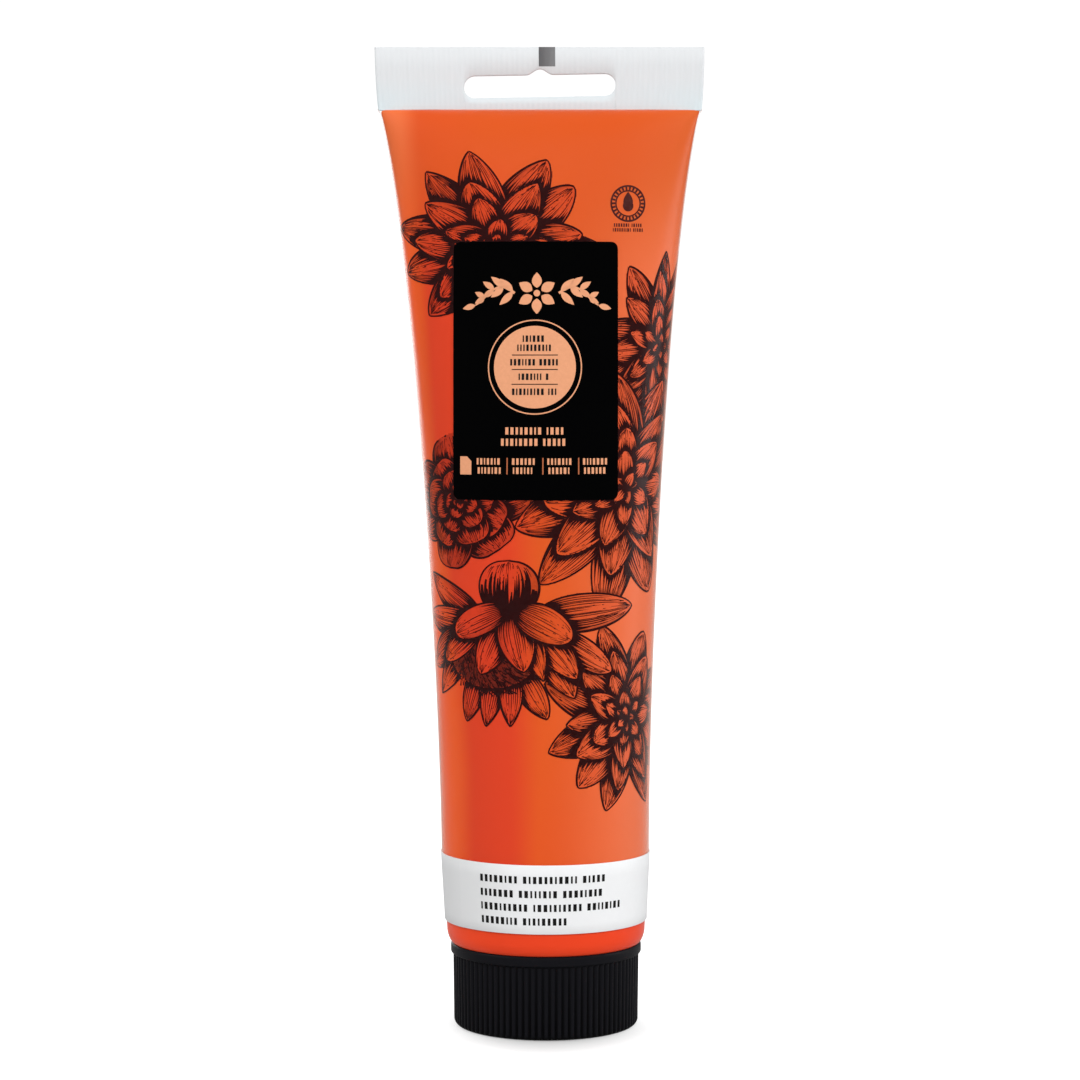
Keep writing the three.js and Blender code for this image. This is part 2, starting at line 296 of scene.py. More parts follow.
class Nodes(Tree):
    """A material whose looks come from one Principled shader."""

    def __init__(self, name):
        self.material = bpy.data.materials.new(name)
        self.material.use_nodes = True
        super().__init__(self.material.node_tree)
        self.shader = self.add("BsdfPrincipled")
        self.add("OutputMaterial", {"Surface": self.shader.outputs["BSDF"]})

    def set(self, **values):
        """Feeds the Principled shader's sockets by name, with Base_Color for Base Color."""
        for name, value in values.items():
            self.feed(self.shader.inputs[name.replace("_", " ")], value)

    def math(self, operation, first, second=0.5, clamp=False):
        values = {0: first, 1: second}
        return self.add("Math", values, operation=operation, use_clamp=clamp).outputs[0]

    def times(self, first, *others):
        """All the values multiplied."""
        for other in others:
            first = self.math("MULTIPLY", first, other)
        return first

    def mix(self, factor, first, second):
        """A colour between two colours or colour sockets."""
        node = self.add("Mix", {0: factor}, data_type="RGBA")
        colour_sockets = [socket for socket in node.inputs if socket.type == "RGBA"]
        for socket, value in zip(colour_sockets, (first, second)):
            self.feed(socket, value)
        return next(socket for socket in node.outputs if socket.type == "RGBA")

    def place(self, scale=(1, 1, 1), shift=(0, 0, 0)):
        """The object's own coordinates, which move with it."""
        own = self.add("TexCoord").outputs["Object"]
        mapping = {"Scale": scale, "Location": shift, "Vector": own}
        return self.add("Mapping", mapping).outputs["Vector"]

    def noise(self, scale, detail=3.0, stretch=(1, 1, 1), roughness=0.5):
        values = {"Scale": scale, "Detail": detail, "Roughness": roughness}
        values["Vector"] = self.place(stretch)
        return self.add("TexNoise", values).outputs["Fac"]

    def range(self, value, low, high, to_low=0.0, to_high=1.0, smooth=False):
        """Maps low to high onto to_low to to_high, and holds the value at both ends."""
        names = ("Value", "From Min", "From Max", "To Min", "To Max")
        values = dict(zip(names, (value, low, high, to_low, to_high)))
        kind = "SMOOTHSTEP" if smooth else "LINEAR"
        return self.add("MapRange", values, interpolation_type=kind).outputs["Result"]

    def position(self):
        """X, Y and Z of the shaded point on its object, in metres."""
        return self.add("SeparateXYZ", {0: self.place()}).outputs

    def radius(self):
        """The shaded point's distance from the cap's axis, in metres."""
        x, y, _ = self.position()
        return self.math("SQRT", self.math("ADD", self.times(x, x), self.times(y, y)))

    def bump(self, height, strength, distance):
        values = {"Strength": strength, "Distance": distance, "Height": height}
        self.set(Normal=self.add("Bump", values).outputs["Normal"])


# the ink's colours by where it is on the tube, seen from the front
INK_TOP_COLOUR = (0.67, 0.091, 0.0135)
INK_LOW_COLOUR = (0.785, 0.104, 0.015)
# partly painted shade for the band to -X at the front, partly random clouding in the ink
INK_SHADE_AND_CLOUD_COLOUR = (0.73, 0.047, 0.017)
INK_FOOT_COLOUR = (0.86, 0.058, 0.014)
# painted light: brighter red at the -X end of the strip below the label
INK_FOOT_LEFT_PAINTED_LIGHT = (1.0, 0.075, 0.016)
# painted light and sheen: paler, brighter ink at the -X edge
INK_TOP_LEFT_PAINTED_LIGHT = (0.79, 0.155, 0.045)
INK_LOW_LEFT_PAINTED_LIGHT = (1.0, 0.118, 0.015)
# painted sheen: paler ink to +X, where a side light is mirrored
INK_TOP_RIGHT_PAINTED_SHEEN = (0.68, 0.145, 0.036)
INK_LOW_RIGHT_PAINTED_SHEEN = (0.8, 0.17, 0.066)
FOOT_EDGE = (0.022, 0.023)  # heights in metres, behind the label, where the foot's colour ends


def ink_colour(nodes):
    """Cloudy orange: painted shade in a deeper band to -X at the front, painted light and sheen that
    make the sides paler, and redder below the label, with painted light to -X there.
    """
    across, depth, up = nodes.position()
    top = nodes.range(up, 0.14, 0.172, smooth=True)
    base = nodes.mix(nodes.range(up, 0.02, 0.15, smooth=True), INK_LOW_COLOUR, INK_TOP_COLOUR)
    share = nodes.math("DIVIDE", across, nodes.range(up, 0.05, 0.17, 0.02, 0.0285))
    # painted shade: a deeper red band to -X at the front, where less light falls; the clouds mix
    # towards the same colour
    inner = nodes.range(share, -0.36, 0.0, 1.0, 0.0, smooth=True)
    edge_width = nodes.range(up, 0.06, 0.11, 0.34, 0.17)
    edge = nodes.math("DIVIDE", nodes.math("ADD", share, 1.0), edge_width)
    outer = nodes.range(edge, 0.3, 1.0, 0.0, 1.0, smooth=True)
    fade = nodes.range(up, 0.135, 0.172, 0.85, 0.0, smooth=True)
    front = nodes.range(depth, -0.002, 0.014, 1.0, 0.2, smooth=True)
    painted_shade_stripe = nodes.times(inner, outer, fade, front)
    clouds = nodes.range(nodes.noise(24.0, detail=2.0, stretch=(1, 1, 0.4)), 0.45, 0.75, 0.0, 0.3)
    base = nodes.mix(nodes.math("MAXIMUM", painted_shade_stripe, clouds), base, INK_SHADE_AND_CLOUD_COLOUR)
    # painted light and sheen along the -X edge
    left = nodes.range(edge, 0.0, 1.0, 1.0, 0.0, smooth=True)
    base = nodes.mix(left, base, nodes.mix(top, INK_LOW_LEFT_PAINTED_LIGHT, INK_TOP_LEFT_PAINTED_LIGHT))
    # painted sheen towards the +X side
    rightward = nodes.math("SUBTRACT", share, nodes.times(top, 0.5))
    right = nodes.range(rightward, -0.1, 1.05, smooth=True)
    base = nodes.mix(right, base, nodes.mix(top, INK_LOW_RIGHT_PAINTED_SHEEN, INK_TOP_RIGHT_PAINTED_SHEEN))
    # painted light on the -X part of the strip below the label
    foot_painted_light = nodes.range(share, -0.95, -0.45, 1.0, 0.0)
    foot = nodes.mix(foot_painted_light, INK_FOOT_COLOUR, INK_FOOT_LEFT_PAINTED_LIGHT)
    return nodes.mix(nodes.range(up, *FOOT_EDGE), foot, base)


def ink_material():
    nodes = Nodes("orange_ink")
    nodes.set(Base_Color=ink_colour(nodes), Roughness=0.3, IOR=1.45, Specular_IOR_Level=0.18)
    nodes.bump(nodes.noise(60.0, detail=2.0), 0.15, 0.0008)
    return nodes.material


def film_material():
    """Clear film: nearly invisible face on, and milky where it is seen edge on, partly its own haze
    and partly a painted reflection of the pale surroundings.
    """
    nodes = Nodes("clear_film")
    grain = nodes.noise(900.0, detail=2.0, stretch=(1, 1, 0.2))
    colour = nodes.mix(grain, (0.94, 0.54, 0.43), (0.98, 0.6, 0.49))
    facing = nodes.add("LayerWeight", {"Blend": 0.5}).outputs["Facing"]
    above_foot = nodes.range(nodes.position()[2], *FOOT_EDGE, 0.0, 1.6)
    # partly the film's milky haze, partly a painted reflection of the pale surroundings, rising where
    # the film is seen edge on
    haze_and_painted_reflection = nodes.math("MULTIPLY", nodes.math("POWER", facing, 9.0), above_foot, clamp=True)
    nodes.set(Base_Color=colour, Roughness=0.3, IOR=1.5, Alpha=haze_and_painted_reflection)
    return nodes.material


def petal_material():
    """A red tint over the ink, darkened by the shade painted on the mesh."""
    nodes = Nodes("petal_tint")
    shade = nodes.add("Attribute", attribute_name="shade").outputs["Fac"]
    redness = nodes.range(nodes.position()[2], 0.08, 0.14, 0.32, 0.5)
    # the ink colour under the red tint brings the ink's painted shade, painted light and painted sheen
    # with it
    red = nodes.mix(redness, ink_colour(nodes), (0.56, 0.03, 0.008))
    grain = nodes.noise(1400.0, detail=3.0, roughness=0.7)
    depth = nodes.math("ADD", shade, nodes.range(grain, 0.3, 0.7, -0.12, 0.12))
    colour = nodes.mix(nodes.range(depth, 0.05, 0.95), red, (0.03, 0.004, 0.003))
    nodes.set(Base_Color=colour, Roughness=0.3, IOR=1.45, Specular_IOR_Level=0.18)
    return nodes.material


def print_material(name, colour, roughness=0.45, speckle=0.06, gloss=0.3):
    """Flat printing ink with a little unevenness."""
    nodes = Nodes(name)
    grain = nodes.noise(1800.0, detail=3.0, roughness=0.7)
    worn = tuple(min(1.0, c + speckle * (0.2 + c)) for c in colour)
    uneven = nodes.mix(nodes.range(grain, 0.35, 0.75), colour, worn)
    nodes.set(Base_Color=uneven, Roughness=roughness, IOR=1.4, Specular_IOR_Level=gloss)
    return nodes.material


def plastic(name, low, high, roughness, grain_scale, bump=0.0, stretch=(1, 1, 1)):
    """Nodes of a plastic with fine grain in its colour, roughness and surface, and its colour."""
    nodes = Nodes(name)
    grain = nodes.noise(grain_scale, detail=4.0, stretch=stretch, roughness=0.6)
    colour = nodes.mix(grain, low, high)
    rough = nodes.range(grain, 0.3, 0.7, roughness - 0.06, roughness + 0.06)
    nodes.set(Base_Color=colour, Roughness=rough)
    if bump:
        nodes.bump(grain, bump, 0.0002)
    return nodes, colour


def label_material():
    """White film, greyer to -X: painted shade on the side that gets less light."""
    nodes, pale = plastic("label_film", (0.84, 0.85, 0.86), (0.88, 0.89, 0.9), 0.4, 700.0)
    # painted shade: the label darker towards -X
    right = nodes.range(nodes.position()[0], -0.014, -0.003, smooth=True)
    nodes.set(Base_Color=nodes.mix(right, (0.78, 0.79, 0.795), pale), Specular_IOR_Level=0.15)
    return nodes.material


def cap_material():
    """Black plastic, with painted shade darkening the valleys between the ribs."""
    nodes, pale = plastic(
        "black_cap", (0.0048, 0.0048, 0.0064), (0.0072, 0.0072, 0.0094), 0.42, 2400.0, bump=0.12
    )
    # painted shade: the rib valleys darker than the crests
    crest_out_of_painted_shade = nodes.range(nodes.radius(), 0.0174, 0.01775, smooth=True)
    colour = nodes.mix(crest_out_of_painted_shade, (0.0006, 0.0006, 0.0009), pale)
    nodes.set(Base_Color=colour, Specular_IOR_Level=0.07)
    return nodes.material


def head_material():
    """Milky plastic that takes the ink's colour where ink lies behind it."""
    nodes = Nodes("natural_plastic")
    behind = nodes.range(nodes.radius(), 0.0095, 0.0175, 0.25, 0.8, smooth=True)
    milky = nodes.noise(500.0, detail=3.0)
    pale = nodes.mix(milky, (0.74, 0.74, 0.72), (0.84, 0.84, 0.82))
    nodes.set(Base_Color=nodes.mix(behind, pale, (0.80, 0.16, 0.06)), Roughness=0.35, IOR=1.5)
    nodes.bump(nodes.noise(3000.0, detail=2.0), 0.05, 0.0001)
    return nodes.material


def crimp_material():
    """Film pressed to a frosted white, greyer just above the ink."""
    nodes, pale = plastic(
        "crimp_plastic", (0.71, 0.73, 0.745), (0.75, 0.765, 0.78), 0.38, 600.0, stretch=(1, 1, 0.1)
    )
    rise = nodes.range(nodes.position()[2], SEAL_LINE * MM, (SEAL_LINE + 6) * MM)
    nodes.set(Base_Color=nodes.mix(rise, (0.69, 0.77, 0.8), pale))
    return nodes.material


def mark_material():
    """Grey print, darker to -X, with fine upright streaks."""
    nodes = Nodes("grey_mark")
    streaks = nodes.noise(3000.0, detail=2.0, stretch=(1, 1, 0.15))
    across = nodes.math("ADD", nodes.position()[0], nodes.times(streaks, 0.0008))
    # darker to -X and paler to +X, with the streaks breaking up the change
    thin = nodes.range(across, -0.001, 0.0018)
    nodes.set(Base_Color=nodes.mix(thin, (0.1, 0.1, 0.105), (0.2, 0.2, 0.205)), Roughness=0.5)
    return nodes.material


def foil_material():
    """Aluminium foil with a fine woven embossing."""
    nodes = Nodes("seal_foil")
    wrinkle = nodes.noise(700.0, detail=4.0)
    colour = nodes.mix(wrinkle, (0.66, 0.67, 0.69), (0.82, 0.83, 0.85))
    rough = nodes.range(wrinkle, 0.3, 0.7, 0.22, 0.4)
    nodes.set(Base_Color=colour, Roughness=rough, Metallic=1.0)
    waves = []
    for direction in ("X", "Y"):
        values = {"Scale": 420.0, "Vector": nodes.place()}
        wave = nodes.add("TexWave", values, bands_direction=direction)
        waves.append(wave.outputs["Fac"])
    nodes.bump(nodes.times(*waves), 0.6, 0.00008)
    return nodes.material


def foam_material():
    nodes, _ = plastic("liner_foam", (0.78, 0.78, 0.75), (0.9, 0.9, 0.87), 0.8, 2600.0, bump=0.5)
    return nodes.material


MATERIALS = {
    "ink": ink_material(),
    "film": film_material(),
    "petal": petal_material(),
    "black": print_material("black_print", (0.005, 0.004, 0.004), 0.3, gloss=0.12),
    "engraving": print_material("engraving_print", (0.022, 0.001, 0.001), 0.28, 0.01, gloss=0.2),
    "panel": print_material("panel_black", (0.0006, 0.0006, 0.0007), 0.4, 0.001, gloss=0.02),
    "peach": print_material("peach_print", (0.76, 0.335, 0.175), 0.5),
    "rust": print_material("rust_print", (0.42, 0.12, 0.045), 0.5),
    "brown": print_material("brown_print", (0.055, 0.006, 0.004), 0.5),
    "mark": mark_material(),
    "crimp": crimp_material(),
    "label": label_material(),
    "cap": cap_material(),
    "head": head_material(),
    "foil": foil_material(),
    "foam": foam_material(),
}


# ---------- sleeve, ink and crimp ----------
COLUMNS = 224
BODY_START = 18.4  # height over the bottom edge from which the sleeve has its full width


def sleeve_ring(z, inset):
    """One turn of the sleeve, drawn in by inset."""
    angle = np.linspace(0, 2 * math.pi, COLUMNS, endpoint=False)
    x = (width_at(z) - inset) * np.sin(angle) + lean_at(z)
    return to_points(x, -(depth_at(z) - inset) * np.cos(angle), z)


def body_heights(top, rows=120):
    """Heights from the bottom edge to the seal, closer together near the seal."""
    t = 1 - (1 - np.linspace(0, 1, rows)) ** 1.7
    round_part = np.linspace(BODY_START, ROUND_TOP - 1, 10)
    return np.concatenate((round_part, ROUND_TOP + (top - ROUND_TOP) * t))


# height and how far the surface draws in, around the bottom edge of the sleeve
BOTTOM_EDGE = [
    (16.55, 2.6), (16.5, 1.9), (16.3, 1.4), (16.18, 1.1), (16.12, 0.88), (16.3, 0.66),
    (16.7, 0.42), (17.2, 0.22), (17.8, 0.07),
]


def sleeve_film():
    outer = [sleeve_ring(z, inset) for z, inset in BOTTOM_EDGE]
    outer += [sleeve_ring(z, 0) for z in body_heights(SEAL_LINE)]
    inner = [sleeve_ring(z, -FILM_INSIDE_LIFT) for z in body_heights(SEAL_LINE - 1.0, 60)[::-1]]
    rings = outer + inner
    faces = grid_faces(len(rings), COLUMNS, join_rows=True)
    piece = make_piece("sleeve_film", np.concatenate(rings), faces, "film", "tube")
    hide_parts("tube_sleeve")


INK_BELOW_SEAL = 0.18
INK_CORNERS = (0.9, 0.4)  # how the ink's top corners are rounded, to the left and to the right


def sleeve_ink():
    top = SEAL_LINE - INK_BELOW_SEAL
    rings = [sleeve_ring(z, inset - INK_LIFT) for z, inset in BOTTOM_EDGE]
    for z in body_heights(top):
        ring = sleeve_ring(z, -INK_LIFT)
        half = width_at(z) + INK_LIFT
        left, right = (
            half - radius + half_chord(radius, max(0.0, z - top + radius)) for radius in INK_CORNERS
        )
        ring[:, 0] = np.clip(ring[:, 0], lean_at(z) - left, lean_at(z) + right)
        rings.append(ring)
    points, faces = axis_closed(np.concatenate(rings), len(rings), COLUMNS)
    piece = make_piece("orange_ink", points, faces, "ink", "tube")
    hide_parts("ink_fill")


SLOT_CENTRE = 180.1
SLOT_HALF_LENGTH = 14.45
SLOT_RADIUS = 2.1
SLOT_PEAK_HALF = 2.6  # half width and height of the rise in the middle of the slot's top edge
SLOT_PEAK = 1.1
SLOT_TILT = 0.018
CRIMP_OVERLAP = 0.25  # how far the crimp reaches down over the ink
CRIMP_CORNER = 0.4
CRIMP_END = 0.35  # how far in from its two ends the crimp starts to thin
CUT_THINNING = 0.75  # the plate's share of its thickness at a cut edge
SERRATION_PITCH = 1.0
SERRATION_DEPTH = 0.03
CRIMP_COLUMNS = 504


def crimp_half_width(z):
    below = (TUBE_TOP - z) / (TUBE_TOP - SEAL_LINE)
    return CRIMP_HALF_WIDTH - CRIMP_FLARE * below**2


def crimp_surface(x):
    """Half thickness of the crimp across its width: fine vertical teeth, and rounded ends."""
    wave = 0.5 - 0.5 * np.cos(2 * math.pi * x / SERRATION_PITCH)
    edge = np.clip((CRIMP_HALF_WIDTH - np.abs(x)) / CRIMP_END, 0, 1)
    return (CRIMP_HALF_THICKNESS - SERRATION_DEPTH * wave) * np.sqrt(1 - (1 - edge) ** 2 * 0.96)


def crimp_sections():
    """For each column: its place across the crimp and the edges of the plate and of the slot."""
    x = np.linspace(-CRIMP_HALF_WIDTH, CRIMP_HALF_WIDTH, CRIMP_COLUMNS + 1)
    for end in (-SLOT_HALF_LENGTH, SLOT_HALF_LENGTH):
        x[np.argmin(np.abs(x - end))] = end
    out = np.abs(x)
    inside = out < SLOT_HALF_LENGTH - 1e-9
    past = np.clip(out - (SLOT_HALF_LENGTH - SLOT_RADIUS), 0, SLOT_RADIUS)
    half = np.where(inside, half_chord(SLOT_RADIUS, past), 0)
    peak = SLOT_PEAK * (0.5 + 0.5 * np.cos(math.pi * np.minimum(out / SLOT_PEAK_HALF, 1)))
    middle = SLOT_CENTRE + SLOT_TILT * x
    past = np.clip(out - (CRIMP_HALF_WIDTH - CRIMP_CORNER), 0, CRIMP_CORNER)
    bottom = SEAL_LINE - CRIMP_OVERLAP + CRIMP_CORNER - half_chord(CRIMP_CORNER, past)
    return x, inside, bottom, middle - half, middle + half + peak


def crimp_plate():
    x, inside, bottom, slot_low, slot_high = crimp_sections()
    at_slot = inside | (np.abs(x) == SLOT_HALF_LENGTH)
    everywhere = np.ones_like(inside)
    mesh = bmesh.new()
    # the strips under and over the slot: their edges, where each edge is cut, and how thin the
    # lower cut is
    for low, high, low_cut, high_cut, low_thin in (
        (bottom, slot_low, everywhere, inside, 1.0),
        (slot_high, np.full_like(x, TUBE_TOP), inside, everywhere, CUT_THINNING),
    ):
        shares = {0.0: low_thin, 0.03: 1.0, 0.5: 1.0, 0.97: 1.0, 1.0: CUT_THINNING}
        rows = []
        for share, thin in shares.items():
            z = low + (high - low) * share
            thickness = crimp_surface(x) * np.where(low_cut if share < 0.5 else high_cut, thin, 1.0)
            flared = x / CRIMP_HALF_WIDTH * crimp_half_width(z) + lean_at(z)
            across = np.where(at_slot, x + lean_at(SLOT_CENTRE), flared)
            rows.append((across, thickness, z))
        add_plate_strip(mesh, rows, low_cut, high_cut)
    bmesh.ops.remove_doubles(mesh, verts=mesh.verts, dist=1e-4)
    bmesh.ops.recalc_face_normals(mesh, faces=mesh.faces)
    mesh.verts.index_update()
    points = [tuple(v.co) for v in mesh.verts]
    faces = [[v.index for v in face.verts] for face in mesh.faces]
    mesh.free()
    piece = make_piece("sealed_crimp", points, faces, "crimp", "tube")
    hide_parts("tube_sleeve")


def add_plate_strip(mesh, rows, low_cut, high_cut):
    """Front, back and edge faces of one strip of the crimp."""
    grid = {
        (side, k, i): mesh.verts.new((across, side * thick, z))
        for side in (-1, 1)
        for k, row in enumerate(rows)
        for i, (across, thick, z) in enumerate(zip(*row))
    }

    def quad(*keys):
        mesh.faces.new([grid[key] for key in keys])

    last, end = len(rows) - 1, len(low_cut) - 1
    for i in range(end):
        for k in range(last):
            for side in (-1, 1):
                quad((side, k, i), (side, k, i + 1), (side, k + 1, i + 1), (side, k + 1, i))
        for k, cut in ((0, low_cut), (last, high_cut)):
            if cut[i] or cut[i + 1]:
                quad((-1, k, i), (-1, k, i + 1), (1, k, i + 1), (1, k, i))
    for i in (0, end):
        for k in range(last):
            quad((-1, k, i), (1, k, i), (1, k + 1, i), (-1, k + 1, i))


EYE_MARK_ENDS = (-0.15, 3.06)  # across the crimp, to the right of its middle
EYE_MARK_HEIGHT = 3.7
EYE_MARK_GAP = 0.02  # to the crimp behind it and to the top edge


def eye_mark():
    """The printed registration mark on the crimp's top edge."""
    low, high = TUBE_TOP - EYE_MARK_HEIGHT, TUBE_TOP - EYE_MARK_GAP
    x = np.arange(*EYE_MARK_ENDS, SERRATION_PITCH / 8)
    front = -crimp_surface(x) - EYE_MARK_GAP
    rows = [to_points(x + lean_at(z), front, z) for z in (low, (low + high) / 2, high)]
    faces = grid_faces(len(rows), len(x), join_columns=False)
    make_piece("eye_mark", np.concatenate(rows), faces, "mark", "tube")


# ---------- printing ----------
PANEL_CENTRE_UP = 126.0
PANEL_HALF_WIDTH = 16.0
PANEL_LOW, PANEL_HIGH = 101.8, 150.1
PANEL_CORNER = 1.3
PANEL_SHIFT = -1.33  # where the panel's middle is along the sleeve
PANEL_DRIFT = 0.0135  # how far it moves for each millimetre up, with the tube's lean
PANEL_TAPER = 0.001  # how much narrower it gets for each millimetre up


def panel_along(points):
    """Places on the sleeve of points drawn on a straight panel."""
    along, up = np.asarray(points, float).T
    rise = up - PANEL_CENTRE_UP
    return to_points(PANEL_SHIFT + PANEL_DRIFT * rise + along * (1 - PANEL_TAPER * rise), up)


# blocks stand for letters: their widths and the gaps after a block and a word, in letter widths
BLOCK_WIDTHS = (0.26, 0.38, 0.46, 0.5)
BLOCK_GAP = 0.34
WORD_GAP = 0.55
# height of the blocks and width of a letter
TITLE_SIZE = (1.35, 1.15)
SMALL_SIZE = (1.2, 0.95)
EMBLEM_SIZE = (0.65, 0.6)
BACK_SIZE = (1.1, 1.1)
BAND_SIZE = (1.35, 1.35)


class PrintLayer:
    """Flat shapes that are wrapped around the sleeve as one mesh."""

    def __init__(self, layout=None):
        self.layout = layout
        self.points = []
        self.faces = []
        self.count = 0

    def add(self, points, faces):
        points = np.asarray(points, float)
        self.faces += (np.asarray(faces) + self.count).tolist()
        self.points.append(points)
        self.count += len(points)

    def ribbon(self, points, widths, closed=False):
        """A line of changing width."""
        points = np.asarray(points, float)
        widths = np.broadcast_to(np.asarray(widths, float), len(points))
        if closed:
            tangent = np.roll(points, -1, axis=0) - np.roll(points, 1, axis=0)
        else:
            tangent = np.gradient(points, axis=0)
        tangent /= np.maximum(np.linalg.norm(tangent, axis=1, keepdims=True), 1e-9)
        across = to_points(-tangent[:, 1], tangent[:, 0]) * widths[:, None] / 2
        n = len(points)
        i = np.arange(n if closed else n - 1)
        j = (i + 1) % n
        self.add(np.concatenate((points - across, points + across)), to_points(i, j, j + n, i + n))

    def fill(self, left, right, low, high, rows=24, columns=24):
        """A shape given by its left and right edges at each height."""
        share = 0.5 - 0.5 * np.cos(np.linspace(0, math.pi, rows))
        points = [
            to_points(np.linspace(left(up), right(up), columns), up)
            for up in low + (high - low) * share
        ]
        self.add(np.concatenate(points), grid_faces(rows, columns, join_columns=False))

    def bar(self, low_left, high_right):
        """A small upright rectangle."""
        (x0, z0), (x1, z1) = low_left, high_right
        self.add([(x0, z0), (x1, z0), (x1, z1), (x0, z1)], [(0, 1, 2, 3)])

    def disc(self, centre, radius, rows=28, columns=28):
        along, middle = centre
        self.fill(
            lambda up: along - half_chord(radius, up - middle),
            lambda up: along + half_chord(radius, up - middle),
            middle - radius, middle + radius, rows, columns,
        )

    def ring(self, centre, radius, width, steps=120):
        angle = np.linspace(0, 2 * math.pi, steps, endpoint=False)
        self.ribbon(centre + radius * to_points(np.cos(angle), np.sin(angle)), width, closed=True)

    def leaf(self, base, angle_deg, length, width, bend=0.0, steps=14, strands=5):
        """A pointed leaf from its base."""
        t = np.linspace(0, 1, steps)
        half = width / 2 * np.sin(math.pi * t**0.85) ** 0.9
        forward = heading(angle_deg)
        side = left_of(forward)
        middle = base + np.outer(t * length, forward) + np.outer(bend * length * t**2, side)
        points = [middle + np.outer(half * share, side) for share in np.linspace(-1, 1, strands)]
        self.add(np.concatenate(points), grid_faces(strands, steps, join_columns=False))

    def words(self, left, right, up, size, seed):
        """A line of small blocks that stands for words, with no letters in it."""
        height, letter = size
        dice = random.Random(seed)
        along = left
        word_end = left + dice.uniform(4, 7) * letter
        while along < right - 0.3 * letter:
            width = letter * dice.choice(BLOCK_WIDTHS)
            if along > word_end:
                along += WORD_GAP * letter
                word_end = along + dice.uniform(4, 8) * letter
                continue
            end = min(along + width, right)
            self.bar((along, up - height / 2), (end, up + height / 2))
            along = end + BLOCK_GAP * letter

    def build(self, name, lift, material):
        points = np.concatenate(self.points)
        if self.layout is not None:
            points = self.layout(points)
        placed = sleeve_map.place(points, lift)
        return make_piece(name, placed, self.faces, material, "tube")


def black_panel():
    layer = PrintLayer(panel_along)
    middle = (PANEL_LOW + PANEL_HIGH) / 2
    straight = (PANEL_HIGH - PANEL_LOW) / 2 - PANEL_CORNER

    def half(up):
        past = max(0.0, abs(up - middle) - straight)
        return PANEL_HALF_WIDTH - PANEL_CORNER + half_chord(PANEL_CORNER, past)

    layer.fill(lambda up: -half(up), half, PANEL_LOW, PANEL_HIGH, rows=90, columns=70)
    layer.build("label_panel", PANEL_LIFT, "panel")


def panel_ornament(layer):
    """A leafy spray in the place of a name: an open flower between two curling sprigs."""
    centre = np.array((0.3, 140.4))
    for angle in range(30, 390, 60):
        layer.leaf(centre + heading(angle), angle, 2.9, 1.9, strands=7, steps=20)
    layer.disc(centre, 0.62, 12, 8)
    t = np.linspace(0, 1, 60)
    rise = 1.5 * np.sin(math.pi * 1.35 * t) - 0.9 * t
    for side in (-1, 1):
        stem = centre + to_points(side * (4.2 + 7.6 * t), rise)
        layer.ribbon(stem, 0.5 - 0.26 * t)
        outward = 90 - side * 90
        for k in range(4):
            for up in (-1, 1):
                angle = outward + side * up * (50 - 5 * k)
                length, width = 3.5 - 0.45 * k, 1.35 - 0.1 * k
                layer.leaf(stem[3 + 14 * k], angle, length, width, -0.1 * up * side, 20, 7)
        layer.leaf(stem[-1], outward - side * 14, 2.6, 1.1, 0.0, 20, 7)


DISC_CENTRE = (0.0, 126.6)
DISC_RADIUS = 7.7
DISC_RING_RADIUS = 8.75
# height and half length of the lines of blocks in the disc, and the rules between them
DISC_LINES = ((131.9, 2.3), (130.2, 3.3), (127.5, 4.6), (124.8, 3.0), (122.0, 4.2))
DISC_RULES = (128.85, 126.15, 123.4)


def panel_printing():
    peach = PrintLayer(panel_along)
    panel_ornament(peach)
    peach.disc(DISC_CENTRE, DISC_RADIUS, rows=44, columns=40)
    peach.ring(DISC_CENTRE, DISC_RING_RADIUS, 0.24)
    peach.words(-5.4, 5.6, 114.7, TITLE_SIZE, 11)
    peach.words(-6.2, 6.1, 112.6, TITLE_SIZE, 12)
    # a sheet with a folded corner
    peach.bar((-14.4, 106.5), (-12.9, 109.9))
    peach.add([(-12.9, 106.5), (-12.0, 106.5), (-12.0, 109.0), (-12.9, 109.9)], [(0, 1, 2, 3)])
    for index, left in enumerate((-10.9, -4.1, 2.4, 9.0)):
        peach.words(left, left + 4.9, 109.0, SMALL_SIZE, 20 + index)
        peach.words(left + 0.2, left + 4.7, 107.3, SMALL_SIZE, 30 + index)
    peach.build("peach_printing", PANEL_LIFT + PRINT_STEP, "peach")

    dark = PrintLayer(panel_along)
    for seed, (up, half) in enumerate(DISC_LINES, 1):
        dark.words(-half, half, up, SMALL_SIZE, seed)
    for up in DISC_RULES:
        dark.ribbon(to_points(np.linspace(-4.3, 4.3, 16), up), 0.16)
    dark.build("disc_printing", PANEL_LIFT + 2 * PRINT_STEP, "black")

    rust = PrintLayer(panel_along)
    for along in (-5.0, 1.6, 8.2):
        rust.bar((along - 0.12, 106.6), (along + 0.12, 109.7))
    rust.build("panel_rules", PANEL_LIFT + PRINT_STEP, "rust")


def emblem():
    """A small round seal with a drop in it, over two short lines of blocks."""
    layer = PrintLayer()
    centre = np.array((16.7, 157.4))
    layer.ring(centre, 3.32, 0.34, 80)
    layer.ring(centre, 2.4, 0.26, 64)
    rays = 26
    for k in range(rays):
        forward = heading(360 * k / rays)
        layer.ribbon([centre + 2.56 * forward, centre + 3.16 * forward], 0.36)
    layer.disc(centre - (0, 0.45), 1.05, 14, 8)
    layer.leaf(centre - (0, 1.2), 90, 3.4, 1.9)
    layer.words(13.9, 19.5, 153.3, EMBLEM_SIZE, 41)
    layer.words(13.7, 19.7, 152.4, EMBLEM_SIZE, 42)
    layer.build("seal_emblem", LINE_LIFT, "brown")


